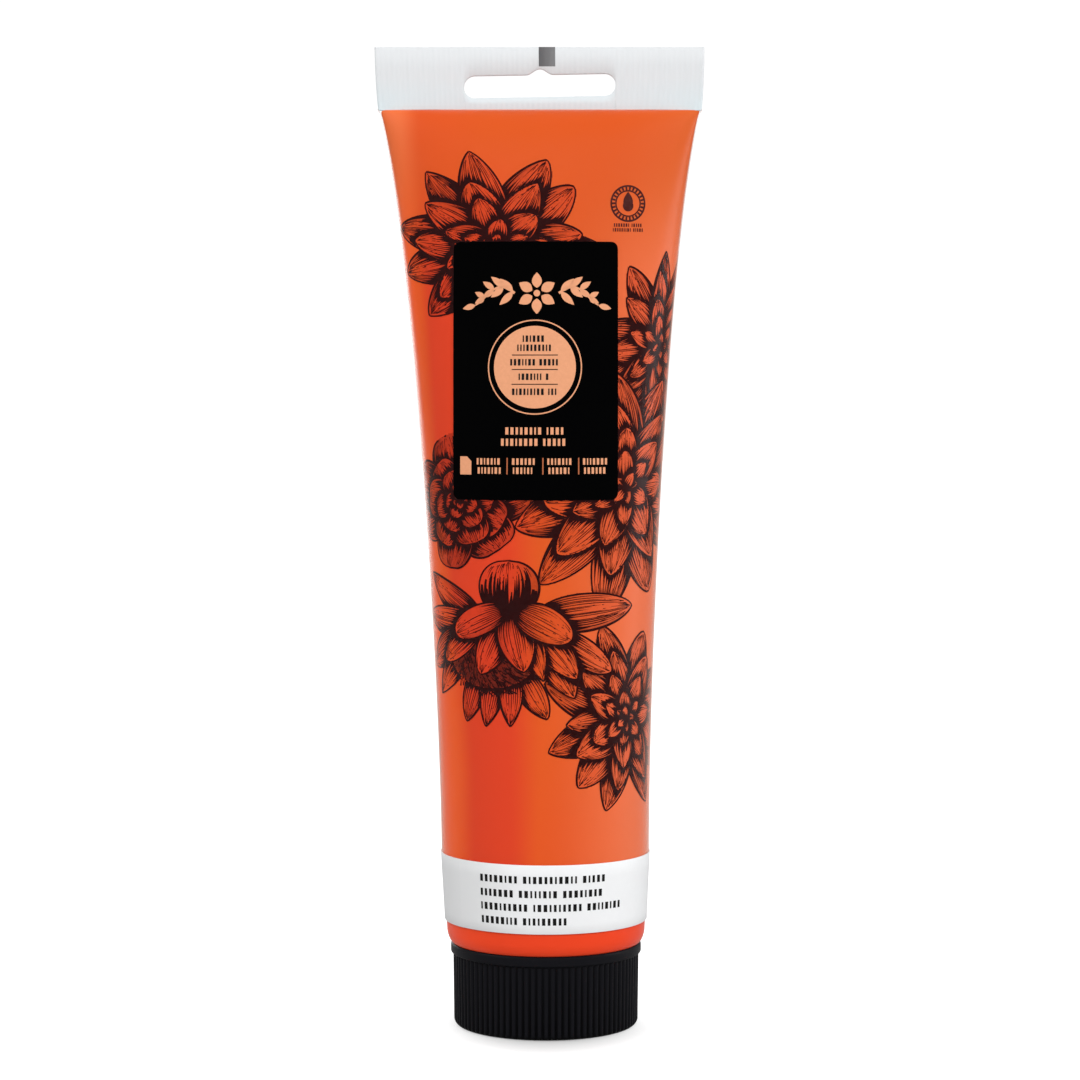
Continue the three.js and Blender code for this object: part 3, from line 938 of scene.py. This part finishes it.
# ---------- the flower engraving ----------
OUTLINE_WIDTH = 0.36
SHADE_WEIGHT = 1.35  # how much bolder lines are on a petal's shadow side
HATCH_PITCH = 0.5
HATCH_WIDTH = 0.14
ROOT_WIDTH = 0.62  # wider than the pitch, so that hatching runs together into black at the root
ROOT_POWER = 0.5  # how bluntly a petal widens from its root
SAMPLE = 0.08  # spacing at which a line is tested against the petals in front of it
KEEP_EVERY = 4  # samples per quad of the finished line
STAMENS = 420
SHADOW_REACH = 1.9  # how far a petal's shadow falls on what lies behind it


class Flower:
    """A flower laid out flat, tilted away from the viewer by squashing it along one direction."""

    def __init__(self, centre, size, squash, tilt_deg, kind, seed, gloom=0.0):
        self.centre = np.array(centre, float)
        self.size = size
        self.kind = kind
        self.gloom = gloom  # how dark the whole flower's petals are tinted
        self.dice = random.Random(seed)
        forward = heading(tilt_deg)
        turn = np.stack((forward, left_of(forward)), axis=1)
        self.matrix = turn @ np.diag((1.0, squash)) @ turn.T * size
        self.inverse = np.linalg.inv(self.matrix)

    def lay(self, flat):
        """Places on the sleeve of points in the flower's own scale, seen straight on."""
        return self.centre + flat @ self.matrix.T

    def straighten(self, points):
        """The reverse of lay."""
        return (points - self.centre) @ self.inverse.T

    def parts(self):
        """Petals from those that lie behind to those in front."""
        if self.kind == "lotus":
            behind = [Petal(self, *petal) for petal in LOTUS_BEHIND]
            bud = Petal(self, *LOTUS_BUD, root_fade=6.5)
            front = [Petal(self, *petal) for petal in LOTUS_FRONT]
            return [bud] + behind + [Stamens(self, (-0.2, -0.22), 0.46)] + front
        made = []
        for number, (count, root, length, width, tip) in enumerate(RINGS[self.kind]):
            step = 360 / count
            shift = step / 2 if number % 2 else 0
            for k in list(range(0, count, 2)) + list(range(1, count, 2)):
                angle = shift + step * (k + self.dice.uniform(-0.18, 0.18))
                made.append(Petal(self, heading(angle) * root, angle, length, width, tip))
        return made


# each ring of petals: how many, distance of the root, length, half width (in flower radii), and
# how pointed the tips are
RINGS = {
    "dahlia": [
        (11, 0.14, 0.86, 0.205, 0.72), (9, 0.1, 0.66, 0.18, 0.74), (7, 0.07, 0.45, 0.145, 0.7),
        (6, 0.03, 0.28, 0.09, 0.7), (5, 0.0, 0.15, 0.055, 0.8),
    ],
    "lily": [
        (11, 0.12, 0.88, 0.175, 0.85), (9, 0.1, 0.68, 0.155, 0.8), (7, 0.07, 0.46, 0.125, 0.75),
        (6, 0.04, 0.28, 0.085, 0.75), (4, 0.0, 0.14, 0.05, 0.8),
    ],
    "peony": [
        (7, 0.15, 0.85, 0.36, 0.34), (7, 0.1, 0.62, 0.28, 0.36), (6, 0.06, 0.42, 0.2, 0.42),
        (5, 0.03, 0.25, 0.13, 0.5), (4, 0.0, 0.13, 0.07, 0.6),
    ],
}
# a water lily from the side: root, angle, length, half width (in flower radii) and tip
LOTUS_BEHIND = [
    ((-0.3, 0.18), 150, 0.85, 0.15, 0.8), ((0.3, 0.05), -34, 0.78, 0.17, 0.6),
    ((0.25, 0.2), 8, 0.98, 0.2, 0.75), ((-0.3, 0.1), 178, 0.84, 0.18, 0.7),
    ((-0.4, 0.0), 205, 0.72, 0.17, 0.7), ((0.25, 0.0), -58, 0.82, 0.16, 0.7),
    ((-0.5, -0.2), 232, 0.6, 0.14, 0.8), ((-0.3, -0.4), 252, 0.6, 0.12, 0.85),
    ((0.1, -0.4), -68, 0.58, 0.13, 0.85), ((-0.15, -0.45), 262, 0.55, 0.11, 0.9),
    ((0.0, -0.4), -88, 0.6, 0.12, 0.9),
]
LOTUS_FRONT = [
    ((-0.3, 0.12), 222, 0.62, 0.15, 0.6), ((0.22, 0.1), -52, 0.74, 0.15, 0.8),
    ((-0.08, 0.1), 250, 0.58, 0.15, 0.7), ((0.1, 0.1), -70, 0.66, 0.14, 0.85),
    ((0.02, 0.24), -84, 0.66, 0.17, 0.8), ((-0.02, 0.3), 204, 0.62, 0.18, 0.5),
    ((0.05, 0.3), -30, 0.66, 0.18, 0.55),
]
LOTUS_BUD = ((-0.02, 0.2), 88, 0.68, 0.27, 0.45)


class Petal:
    """One petal. along runs from 0 at its root to 1 at its tip, and side from -1 to 1 across it."""

    def __init__(self, flower, root, angle_deg, length, width, tip, root_fade=1.2):
        dice = flower.dice
        self.flower = flower
        self.dice = dice
        self.forward = heading(angle_deg)
        self.across = left_of(self.forward)
        self.root = np.array(root, float)
        self.root_fade = root_fade  # distance over which the black of the root breaks into lines
        self.length = length * dice.uniform(0.93, 1.05)
        self.width = width * dice.uniform(0.92, 1.1)
        self.tip = tip * dice.uniform(0.85, 1.12)
        self.bend = dice.uniform(-0.12, 0.12)
        self.shadow_side = dice.choice((-1, 1))
        self.middle = self.place(np.array((0.5,)), np.zeros(1))[0]
        self.reach = (self.length / 2 + self.width) * flower.size * 1.1

    def half_width(self, along):
        along = np.clip(along, 0, 1)
        peak = ROOT_POWER / (ROOT_POWER + self.tip)
        top = peak**ROOT_POWER * (1 - peak) ** self.tip
        return self.width * along**ROOT_POWER * (1 - along) ** self.tip / top

    def place(self, along, side):
        drift = side * self.half_width(along) + self.bend * self.length * along**2
        flat = np.outer(along * self.length, self.forward) + np.outer(drift, self.across)
        return self.flower.lay(self.root + flat)

    def locate(self, points):
        """along, and the distance from the middle line in the flower's own scale."""
        flat = self.flower.straighten(points) - self.root
        along = flat @ self.forward / self.length
        return along, flat @ self.across - self.bend * self.length * along**2

    def covers(self, points):
        along, drift = self.locate(points)
        return (along > 0) & (along < 1) & (np.abs(drift) < self.half_width(along))

    def darkness(self, points):
        """Where the petal is, how dark it is there, and the shadow that it throws beside itself."""
        along, drift = self.locate(points)
        half = self.half_width(along)
        size = self.flower.size
        outside = np.maximum(np.abs(drift) - half, 0) * size
        outside += np.maximum(along - 1, 0) * self.length * size * 3
        beside = (along > -0.02) & (outside > 0)
        shadow = np.where(beside, 0.75 * np.clip(1 - outside / SHADOW_REACH, 0, 1) ** 1.3, 0)
        own = self.flower.gloom + 0.9 * np.exp(-np.clip(along, 0, 1) / 0.19)
        own += 0.35 * np.clip(drift * self.shadow_side / np.maximum(half, 1e-6), 0, 1) ** 2
        return self.covers(points), own, shadow

    def line(self, start, end, side, bow=0.0):
        """Points along the petal from start to end at one side, and their share of the way."""
        span = abs(end - start) * self.length * self.flower.size
        share = np.linspace(0, 1, max(6, int(span / SAMPLE)))
        along = start + (end - start) * share
        return self.place(along, side + bow * np.sin(math.pi * share)), share

    def strokes(self, hidden):
        """Lines and their widths: the outline, hatching from the root and the tip, and specks."""
        dice = self.dice
        made = []
        for side in (-1, 1):
            weight = SHADE_WEIGHT if side == self.shadow_side else 1.0
            points, share = self.line(0.0, 1.0, side)
            made.append((points, OUTLINE_WIDTH * weight * (0.7 + 0.3 * np.sin(math.pi * share))))
        length = self.length * self.flower.size
        count = max(4, int(2 * self.width * self.flower.size / HATCH_PITCH))
        for k in range(count):
            side = -0.92 + 1.84 * (k + 0.5 + dice.uniform(-0.2, 0.2)) / count
            reach = dice.uniform(0.55, 1.0) if dice.random() < 0.75 else dice.uniform(0.3, 0.5)
            shaded = SHADE_WEIGHT if side * self.shadow_side > 0.45 else 1.0
            points, share = self.line(0.01, 0.97, side, dice.uniform(-0.04, 0.04))
            seen = np.flatnonzero(~hidden(points))
            if len(seen):
                first = seen[0]
                last = first + int((len(points) - first) * reach * (1 - 0.25 * abs(side)))
                past = (share[first:last] - share[first]) * length
                taper = np.clip((share[last - 1] - share[first:last]) * length / 2.5, 0.15, 1)
                fade = self.root_fade * (0.75 + 0.8 * side**2)
                width = HATCH_WIDTH * shaded * taper + ROOT_WIDTH * np.exp(-((past / fade) ** 1.5))
                if last - first > 3:
                    made.append((points[first:last], width))
            if dice.random() < 0.6 and abs(side) < 0.85:
                start = 0.98 - 0.12 * abs(side)
                points, share = self.line(start, start - dice.uniform(0.08, 0.26), side)
                made.append((points, 0.16 - 0.12 * share))
        for k in range(count):
            spot, side = dice.uniform(0.55, 0.93), dice.uniform(-0.7, 0.7)
            points, share = self.line(spot, spot + dice.uniform(0.02, 0.05), side)
            made.append((points, 0.13 - 0.05 * share))
        return made


class Stamens:
    """A dense tuft of short curved threads that each end in a knob."""

    def __init__(self, flower, centre, radius):
        self.flower = flower
        self.centre = np.array(centre)
        self.radius = radius
        self.middle = flower.lay(self.centre)
        self.reach = radius * flower.size * 1.4

    def covers(self, points):
        flat = self.flower.straighten(points) - self.centre
        return np.linalg.norm(flat * (1.0, 1.25), axis=1) < self.radius

    def darkness(self, points):
        return self.covers(points), np.full(len(points), 0.8), np.zeros(len(points))

    def strokes(self, hidden):
        dice = self.flower.dice
        share = np.linspace(0, 1, 9)
        made = []
        for k in range(STAMENS):
            angle = dice.uniform(0, 2 * math.pi)
            far = self.radius * math.sqrt(dice.uniform(0.02, 1.05))
            out = np.array((math.cos(angle), 0.8 * math.sin(angle))) * far
            lean = 1.3 * out[0] / self.radius - math.pi / 2 + dice.uniform(-0.4, 0.4)
            step = to_points(np.cos(lean + 0.5 * share), np.sin(lean + 0.5 * share))
            flat = self.centre + out + step * share[:, None] * dice.uniform(0.05, 0.13)
            made.append((self.flower.lay(flat), 0.14 + 0.24 * (share > 0.8)))
        return made


# place (along, up), size, squash and its tilt, kind and seed: six at the front and five behind
FLOWERS = [
    Flower((-8.5, 149.0), 21.5, 0.84, -6, "dahlia", 3, gloom=0.04),
    Flower((25.0, 130.5), 19.0, 0.85, 70, "lily", 7),
    Flower((-16.5, 101.5), 14.5, 0.85, 20, "peony", 5, gloom=0.28),
    Flower((16.5, 104.0), 24.0, 0.88, 50, "dahlia", 9),
    Flower((17.0, 60.5), 18.5, 0.92, -40, "dahlia", 8),
    Flower((-6.5, 76.5), 20.5, 0.82, 0, "lotus", 12),
    Flower((-45.5, 153.0), 15.0, 0.85, 30, "lily", 21),
    Flower((-48.0, 78.0), 16.5, 0.85, 15, "dahlia", 24),
    Flower((-43.0, 51.0), 12.5, 0.85, 40, "peony", 23),
    Flower((50.0, 158.0), 13.0, 0.85, 10, "peony", 26),
    Flower((50.5, 59.0), 15.5, 0.85, -20, "dahlia", 22),
]


def under_panel(points):
    """True for places that the black panel covers."""
    along, up = points.T
    rise = up - PANEL_CENTRE_UP
    across = (along - PANEL_SHIFT - PANEL_DRIFT * rise) / (1 - PANEL_TAPER * rise)
    tall = (up > PANEL_LOW + 0.2) & (up < PANEL_HIGH - 0.2)
    return tall & (np.abs(across) < PANEL_HALF_WIDTH - 0.2)


def visible_runs(seen):
    """Start and end of each unbroken stretch of True."""
    edges = np.flatnonzero(np.diff(np.concatenate(([0], seen.astype(int), [0]))))
    return zip(edges[::2], edges[1::2])


def flower_lines(parts):
    layer = PrintLayer()
    for index, part in enumerate(parts):
        nearer = [
            other for other in parts[index + 1:]
            if np.linalg.norm(other.middle - part.middle) < other.reach + part.reach
        ]

        def hidden(points):
            covered = under_panel(points)
            for other in nearer:
                covered |= other.covers(points)
            return covered

        for points, widths in part.strokes(hidden):
            for start, end in visible_runs(~hidden(points)):
                if end - start < 3:
                    continue
                keep = np.unique(np.append(np.arange(start, end, KEEP_EVERY), end - 1))
                layer.ribbon(points[keep], widths[keep])
    layer.build("flower_engraving", LINE_LIFT, "engraving")


TINT_CELL = 0.3
TINT_LOW, TINT_HIGH = 38.0, 173.0
BACK_OVERLAP = 18.0  # how far flowers reach past the middle of the back


def flower_tint(parts):
    """A grid over the flowers that holds how dark each spot of each petal is."""
    along = np.arange(-HALF_GIRTH - BACK_OVERLAP, HALF_GIRTH + BACK_OVERLAP, TINT_CELL)
    up = np.arange(TINT_LOW, TINT_HIGH, TINT_CELL)
    grid = np.stack(np.meshgrid(along, up), axis=-1)
    covered = np.zeros(grid.shape[:2], bool)
    shade = np.zeros(grid.shape[:2])
    for part in parts:
        reach = part.reach + SHADOW_REACH
        columns = np.flatnonzero(np.abs(along - part.middle[0]) < reach)
        rows = np.flatnonzero(np.abs(up - part.middle[1]) < reach)
        if not len(columns) or not len(rows):
            continue
        window = np.ix_(rows, columns)
        spots = grid[window]
        found = part.darkness(spots.reshape(-1, 2))
        inside, own, shadow = (values.reshape(spots.shape[:2]) for values in found)
        shade[window] = np.where(inside, own, np.maximum(shade[window], shadow))
        covered[window] |= inside
    places = grid.reshape(-1, 2)
    covered &= ~under_panel(places).reshape(covered.shape)
    corners = covered.astype(int)
    wanted = corners[:-1, :-1] + corners[1:, :-1] + corners[:-1, 1:] + corners[1:, 1:] >= 2
    rows, columns = np.nonzero(wanted)
    width = len(along)
    low = rows * width + columns
    used, faces = np.unique(
        to_points(low, low + 1, low + width + 1, low + width), return_inverse=True
    )
    layer = PrintLayer()
    layer.add(places[used], faces.reshape(-1, 4))
    piece = layer.build("petal_tint", TINT_LIFT, "petal")
    attribute = piece.data.attributes.new("shade", "FLOAT", "POINT")
    attribute.data.foreach_set("value", shade.ravel()[used].astype(np.float32))


def flower_printing():
    parts = [part for flower in FLOWERS for part in flower.parts()]
    flower_tint(parts)
    flower_lines(parts)


def back_text():
    """Three blocks of lines on the back, for directions for use, under a leaf in a ring."""
    layer = PrintLayer()
    dice = random.Random(77)
    left = HALF_GIRTH - 13.0
    for row in range(16):
        if row in (4, 10):
            continue
        last = row in (3, 9, 15)
        right = left + (dice.uniform(9, 17) if last else dice.uniform(24.5, 26))
        layer.words(left, right, 135.5 - 2.6 * row, BACK_SIZE, 80 + row)
    layer.ring((HALF_GIRTH, 149.0), 3.4, 0.35)
    layer.leaf((HALF_GIRTH, 146.6), 90, 4.8, 2.6, strands=7, steps=20)
    layer.build("back_printing", LINE_LIFT, "engraving")


# ---------- colour label ----------
LABEL_LIFT = 0.18
LABEL_OVERLAP = (-27.0, -18.6)  # where the band's two ends lie on each other, at the front left
LABEL_OVERLAP_LIFT = 0.08
# distance from the band's top or bottom edge, and lift there
LABEL_RIM = ((0.0, 0.02), (0.0, LABEL_LIFT - 0.04), (0.06, LABEL_LIFT))
# right end and height of each line of blocks
LABEL_LINES = ((12.4, 30.9), (12.4, 28.2), (15.6, 25.6), (4.5, 23.0))


def colour_label():
    low, high = label_low.z, label_high.z
    columns = 256
    along = np.linspace(-HALF_GIRTH, HALF_GIRTH, columns, endpoint=False)
    doubled = (along > LABEL_OVERLAP[0]) & (along < LABEL_OVERLAP[1])
    overlap = np.where(doubled, LABEL_OVERLAP_LIFT, 0.0)[:, None]
    section = [(low + inward, lift) for inward, lift in LABEL_RIM]
    section += [(up, LABEL_LIFT) for up in (22.5, 25.0, 28.0, 31.0)]
    section += [(high - inward, lift) for inward, lift in reversed(LABEL_RIM)]
    rings = [
        sleeve_map.place(to_points(along, up), lift + overlap * (lift > 0.1)) for up, lift in section
    ]
    faces = grid_faces(len(rings), columns, join_rows=True)
    piece = make_piece("colour_band", np.concatenate(rings), faces, "label", "tube")
    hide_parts("colour_label")

    words = PrintLayer()
    for seed, (right, up) in enumerate(LABEL_LINES, 50):
        words.words(-13.2, right, up, BAND_SIZE, seed)
    words.build("band_printing", LABEL_LIFT + 0.03, "black")


# ---------- threads, head, cap and seals ----------
def thread_height(angle, height, thread):
    """How far a thread's ridge stands out, from 0 to 1, at an angle and a height."""
    start, turns = thread
    turn = (angle / (2 * math.pi)) % 1
    best = np.zeros_like(turn)
    for k in range(-1, int(turns) + 1):
        wound = turn + k
        offset = np.abs(height - (start + THREAD_LEAD * wound))
        rise = (THREAD_BASE / 2 - offset) / (THREAD_BASE / 2 - THREAD_CREST / 2)
        fade = np.minimum(wound, turns - wound) * 8
        best = np.maximum(best, np.clip(rise, 0, 1) * np.clip(fade, 0, 1))
    return best


def shoulder_head():
    low, high = head_low.z, head_high.z
    under = SHOULDER_BOTTOM
    rim = head_high.y
    profile = [(ORIFICE_RADIUS, high), (ORIFICE_RADIUS, low + 0.3), (ORIFICE_RADIUS + 0.3, low)]
    profile += [(NECK_RADIUS - 0.5, low), (NECK_RADIUS - 0.15, low + 0.15), (NECK_RADIUS, low + 0.5)]
    profile += [(NECK_RADIUS, z) for z in np.arange(low + 0.7, under - 0.5, 0.16)]
    profile += arc((NECK_RADIUS + 0.5, under - 0.5), 0.5, 180, 90, 5)
    profile += [(11.0, under), (11.2, under - 0.12), (11.8, under - 0.12), (12.0, under)]
    profile += [(15.0, under), (rim - 0.95, under)]
    profile += arc((rim - 0.95, under + 0.95), 0.95, -80, 0, 8)
    profile += [(rim, high), (ORIFICE_RADIUS + 0.2, high)]

    def threaded(radius, height, angle):
        if radius != NECK_RADIUS:
            return radius
        return radius + (NECK_CREST_RADIUS - NECK_RADIUS) * thread_height(angle, height, NECK_THREAD)

    columns = 144
    points = turned(profile, columns, threaded)
    faces = grid_faces(len(profile), columns, join_rows=True)
    piece = make_piece("threaded_head", points, faces, "head", "tube")
    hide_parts("shoulder_head")


RIBS = 88
COLUMNS_PER_RIB = 8
RIB_TOP = 14.1
RIB_END = RIB_TOP - 0.02  # just under the ledge, where the ribs have faded out
RIB_CREST = 17.9
RIB_DEPTH = 0.38
RIBBED_FROM = 16.6  # the cap's outside has ribs from this radius out
FOOT_RADIUS = 17.75
FOOT_ROUNDING = 1.25
COLLAR_ROUNDING = 0.7
CAP_FLOOR = 1.7
SKIRT_BORE = 9.35
SKIRT_RADIUS = 11.2
SKIRT_TOP = 15.8
CAP_INNER_RADIUS = 15.9
WEBS = 8


def cap_profile():
    """The cap's outline from the middle of its foot, round the outside and down the inside."""
    rounding = FOOT_RADIUS - FOOT_ROUNDING
    side = RIB_TOP - 0.35 - FOOT_ROUNDING
    base = [(0.4, 0.35), (12.0, 0.35), (13.2, 0.3), (14.0, 0.0), (rounding, 0.0)]
    base += arc((rounding, FOOT_ROUNDING), FOOT_ROUNDING, -80, 0, 9)
    sides = [(FOOT_RADIUS + 0.15 * s, FOOT_ROUNDING + side * s) for s in np.linspace(0.08, 1, 12)]
    ledge = [(RIB_CREST - 0.1, RIB_TOP - 0.08), (RIB_CREST - 0.22, RIB_TOP)]
    ledge += [(COLLAR_RADIUS - 0.3, RIB_TOP)]
    collar = arc((COLLAR_RADIUS - 0.28, RIB_TOP + 0.3), 0.28, -60, 0, 5)
    corner = (COLLAR_RADIUS - COLLAR_ROUNDING, CAP_TOP - COLLAR_ROUNDING)
    collar += arc(corner, COLLAR_ROUNDING, 0, 90, 9)
    inside = [(CAP_INNER_RADIUS + 0.4, CAP_TOP)]
    inside += arc((CAP_INNER_RADIUS + 0.4, CAP_TOP - 0.4), 0.4, 100, 180, 5)
    inside += [(CAP_INNER_RADIUS, CAP_FLOOR + 0.4), (CAP_INNER_RADIUS - 0.4, CAP_FLOOR)]
    inside += [(SKIRT_RADIUS + 0.3, CAP_FLOOR), (SKIRT_RADIUS, CAP_FLOOR + 0.3)]
    inside += [(SKIRT_RADIUS, SKIRT_TOP - 0.3), (SKIRT_RADIUS - 0.3, SKIRT_TOP)]
    inside += [(SKIRT_BORE + 0.4, SKIRT_TOP), (SKIRT_BORE + 0.1, SKIRT_TOP - 0.3)]
    inside += [(SKIRT_BORE, z) for z in np.arange(SKIRT_TOP - 0.5, CAP_FLOOR + 0.1, -0.2)]
    inside += [(SKIRT_BORE - 0.3, CAP_FLOOR), (0.4, CAP_FLOOR)]
    return base + sides + ledge + collar + inside


def cap_surface(radius, height, angle):
    """Grip ribs on the outside, fading into the foot and the ledge, and the thread in the bore."""
    if radius > RIBBED_FROM and height < RIB_END:
        fade = min(1.0, max(0.0, (height - 0.15) / 0.9)) * min(1.0, (RIB_END - height) / 0.25)
        valley = np.clip(0.5 - 0.5 * np.cos(RIBS * angle), 0, 1) ** 1.6
        return radius - RIB_DEPTH * fade * valley
    if radius == SKIRT_BORE:
        return radius - (SKIRT_BORE - CAP_CREST_RADIUS) * thread_height(angle, height, CAP_THREAD)
    return radius


def add_webs(points, faces):
    """Thin webs between the cap's wall and its threaded skirt."""
    for index in range(WEBS):
        forward = heading(360 * (index + 0.5) / WEBS)
        side = left_of(forward)
        start = len(points)
        for z, half in ((CAP_FLOOR - 0.2, 0.5), (11.9, 0.45), (12.0, 0.3)):
            for reach, out in ((11.0, -half), (16.1, -half), (16.1, half), (11.0, half)):
                points.append((*(forward * reach + side * out), z))
        faces += [tuple(start + k for k in (3, 2, 1, 0)), tuple(start + k for k in (8, 9, 10, 11))]
        faces += grid_faces(3, 4, start=start)


def screw_cap():
    profile = cap_profile()
    columns = RIBS * COLUMNS_PER_RIB
    points, faces = axis_closed(turned(profile, columns, cap_surface), len(profile), columns)
    add_webs(points, faces)
    piece = make_piece("ribbed_cap", points, faces, "cap", "cap")
    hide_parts("screw_cap")


def disc_piece(name, low, high, edge, material, body, node):
    """A thin disc with a rounded edge and a slight dish pressed into its top."""
    radius, bottom, top = high.y, low.z, high.z
    dish = top - edge * 0.5
    profile = [(0.3, bottom), (radius - edge, bottom), (radius - edge * 0.3, bottom + edge * 0.3)]
    profile += [(radius, bottom + edge), (radius, top - edge), (radius - edge * 0.3, top - edge * 0.3)]
    profile += [(radius - edge, top), (radius * 0.9, top), (radius * 0.86, dish)]
    profile += [(radius * 0.5, dish), (0.3, dish)]
    columns = 96
    points, faces = axis_closed(turned(profile, columns), len(profile), columns)
    piece = make_piece(name, points, faces, material, body)
    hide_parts(node)


def seals():
    disc_piece("nozzle_foil", foil_low, foil_high, 0.04, "foil", "tube", "foil_seal")
    disc_piece("foam_liner", liner_low, liner_high, 0.25, "foam", "liner", "cap_liner")


# ---------- floor, lights and camera ----------
def floor():
    """A pale floor that glows white to the camera, except in a painted oval shadow under the cap."""
    mesh = bpy.data.meshes.new("floor")
    half = 4.0
    corners = [(-half, -half, 0), (half, -half, 0), (half, half, 0), (-half, half, 0)]
    mesh.from_pydata(corners, [], [(0, 1, 2, 3)])
    nodes = Nodes("pale_floor")
    oval = nodes.place(scale=(1.25, 1, 1), shift=(0, 0.007, 0))
    distance = nodes.add("VectorMath", {0: oval}, operation="LENGTH").outputs["Value"]
    # painted shadow: the emission falls off in an oval under the cap, reaching further towards the
    # front
    glow_with_painted_shadow = nodes.range(distance, 0.011, 0.033, 0.2, 0.95)
    seen = nodes.add("LightPath").outputs["Is Camera Ray"]
    nodes.set(Base_Color=(0.5, 0.5, 0.5), Roughness=0.9, Specular_IOR_Level=0.0)
    nodes.set(Emission_Color=(1, 1, 1), Emission_Strength=nodes.times(glow_with_painted_shadow, seen))
    mesh.materials.append(nodes.material)
    add_object("floor", mesh)


def soft_world(strength, background):
    """Even pale light, and how bright the white behind the object looks."""
    world = bpy.data.worlds.new("studio")
    world.use_nodes = True
    tree = Tree(world.node_tree)
    shown = tree.add("LightPath").outputs["Is Camera Ray"]
    lit, seen = (
        tree.add("Background", {"Color": (1, 1, 1), "Strength": value}).outputs[0]
        for value in (strength, background)
    )
    mix = tree.add("MixShader", {0: shown, 1: lit, 2: seen})
    tree.add("OutputWorld", {"Surface": mix.outputs[0]})
    bpy.context.scene.world = world


def softbox(name, turn_deg, rise_deg, distance, size, brightness, mirrored=True):
    """A rectangular light aimed at the middle of the tube, and whether glossy surfaces mirror it.

    turn_deg goes from the camera's side towards +X, and rise_deg up from level."""
    light = bpy.data.lights.new(name, "AREA")
    light.shape = "RECTANGLE"
    light.size, light.size_y = size
    light.energy = brightness * math.pi * size[0] * size[1]
    lamp = add_object(name, light)
    lamp.visible_glossy = mirrored
    turn, rise = math.radians(turn_deg), math.radians(rise_deg)
    level, height = distance * math.cos(rise), distance * math.sin(rise)
    aim = Vector((0, 0, 0.09))
    lamp.location = aim + Vector((level * math.sin(turn), -level * math.cos(turn), height))
    lamp.rotation_euler = (aim - lamp.location).to_track_quat("-Z", "Y").to_euler()


def lights():
    soft_world(0.42, 1.05)
    softbox("front_box", 20, 33, 2.0, (2.8, 1.3), 2.9, mirrored=False)
    softbox("right_box", 96, 12, 1.0, (0.44, 0.9), 2.5)
    softbox("left_high_box", -75, 40, 1.4, (1.2, 1.0), 1.8)
    softbox("left_back_box", -155, 14, 1.0, (0.4, 0.9), 2.0)


def camera():
    distance, sideways, height, aim_height = 0.6, -0.00115, 0.125, 0.0935
    data = bpy.data.cameras.new("camera")
    data.sensor_width = 36.0
    data.lens = 104.3
    data.clip_start = 0.01
    eye = add_object("camera", data)
    eye.location = (sideways, -distance, height)
    eye.rotation_euler = (math.pi / 2 - math.atan2(height - aim_height, distance), 0, 0)
    bpy.context.scene.camera = eye


def look():
    view = bpy.context.scene.view_settings
    view.view_transform = "Standard"
    view.look = "None"


sleeve_film()
sleeve_ink()
crimp_plate()
eye_mark()
flower_printing()
black_panel()
panel_printing()
emblem()
back_text()
colour_label()
shoulder_head()
screw_cap()
seals()
floor()
lights()
camera()
look()
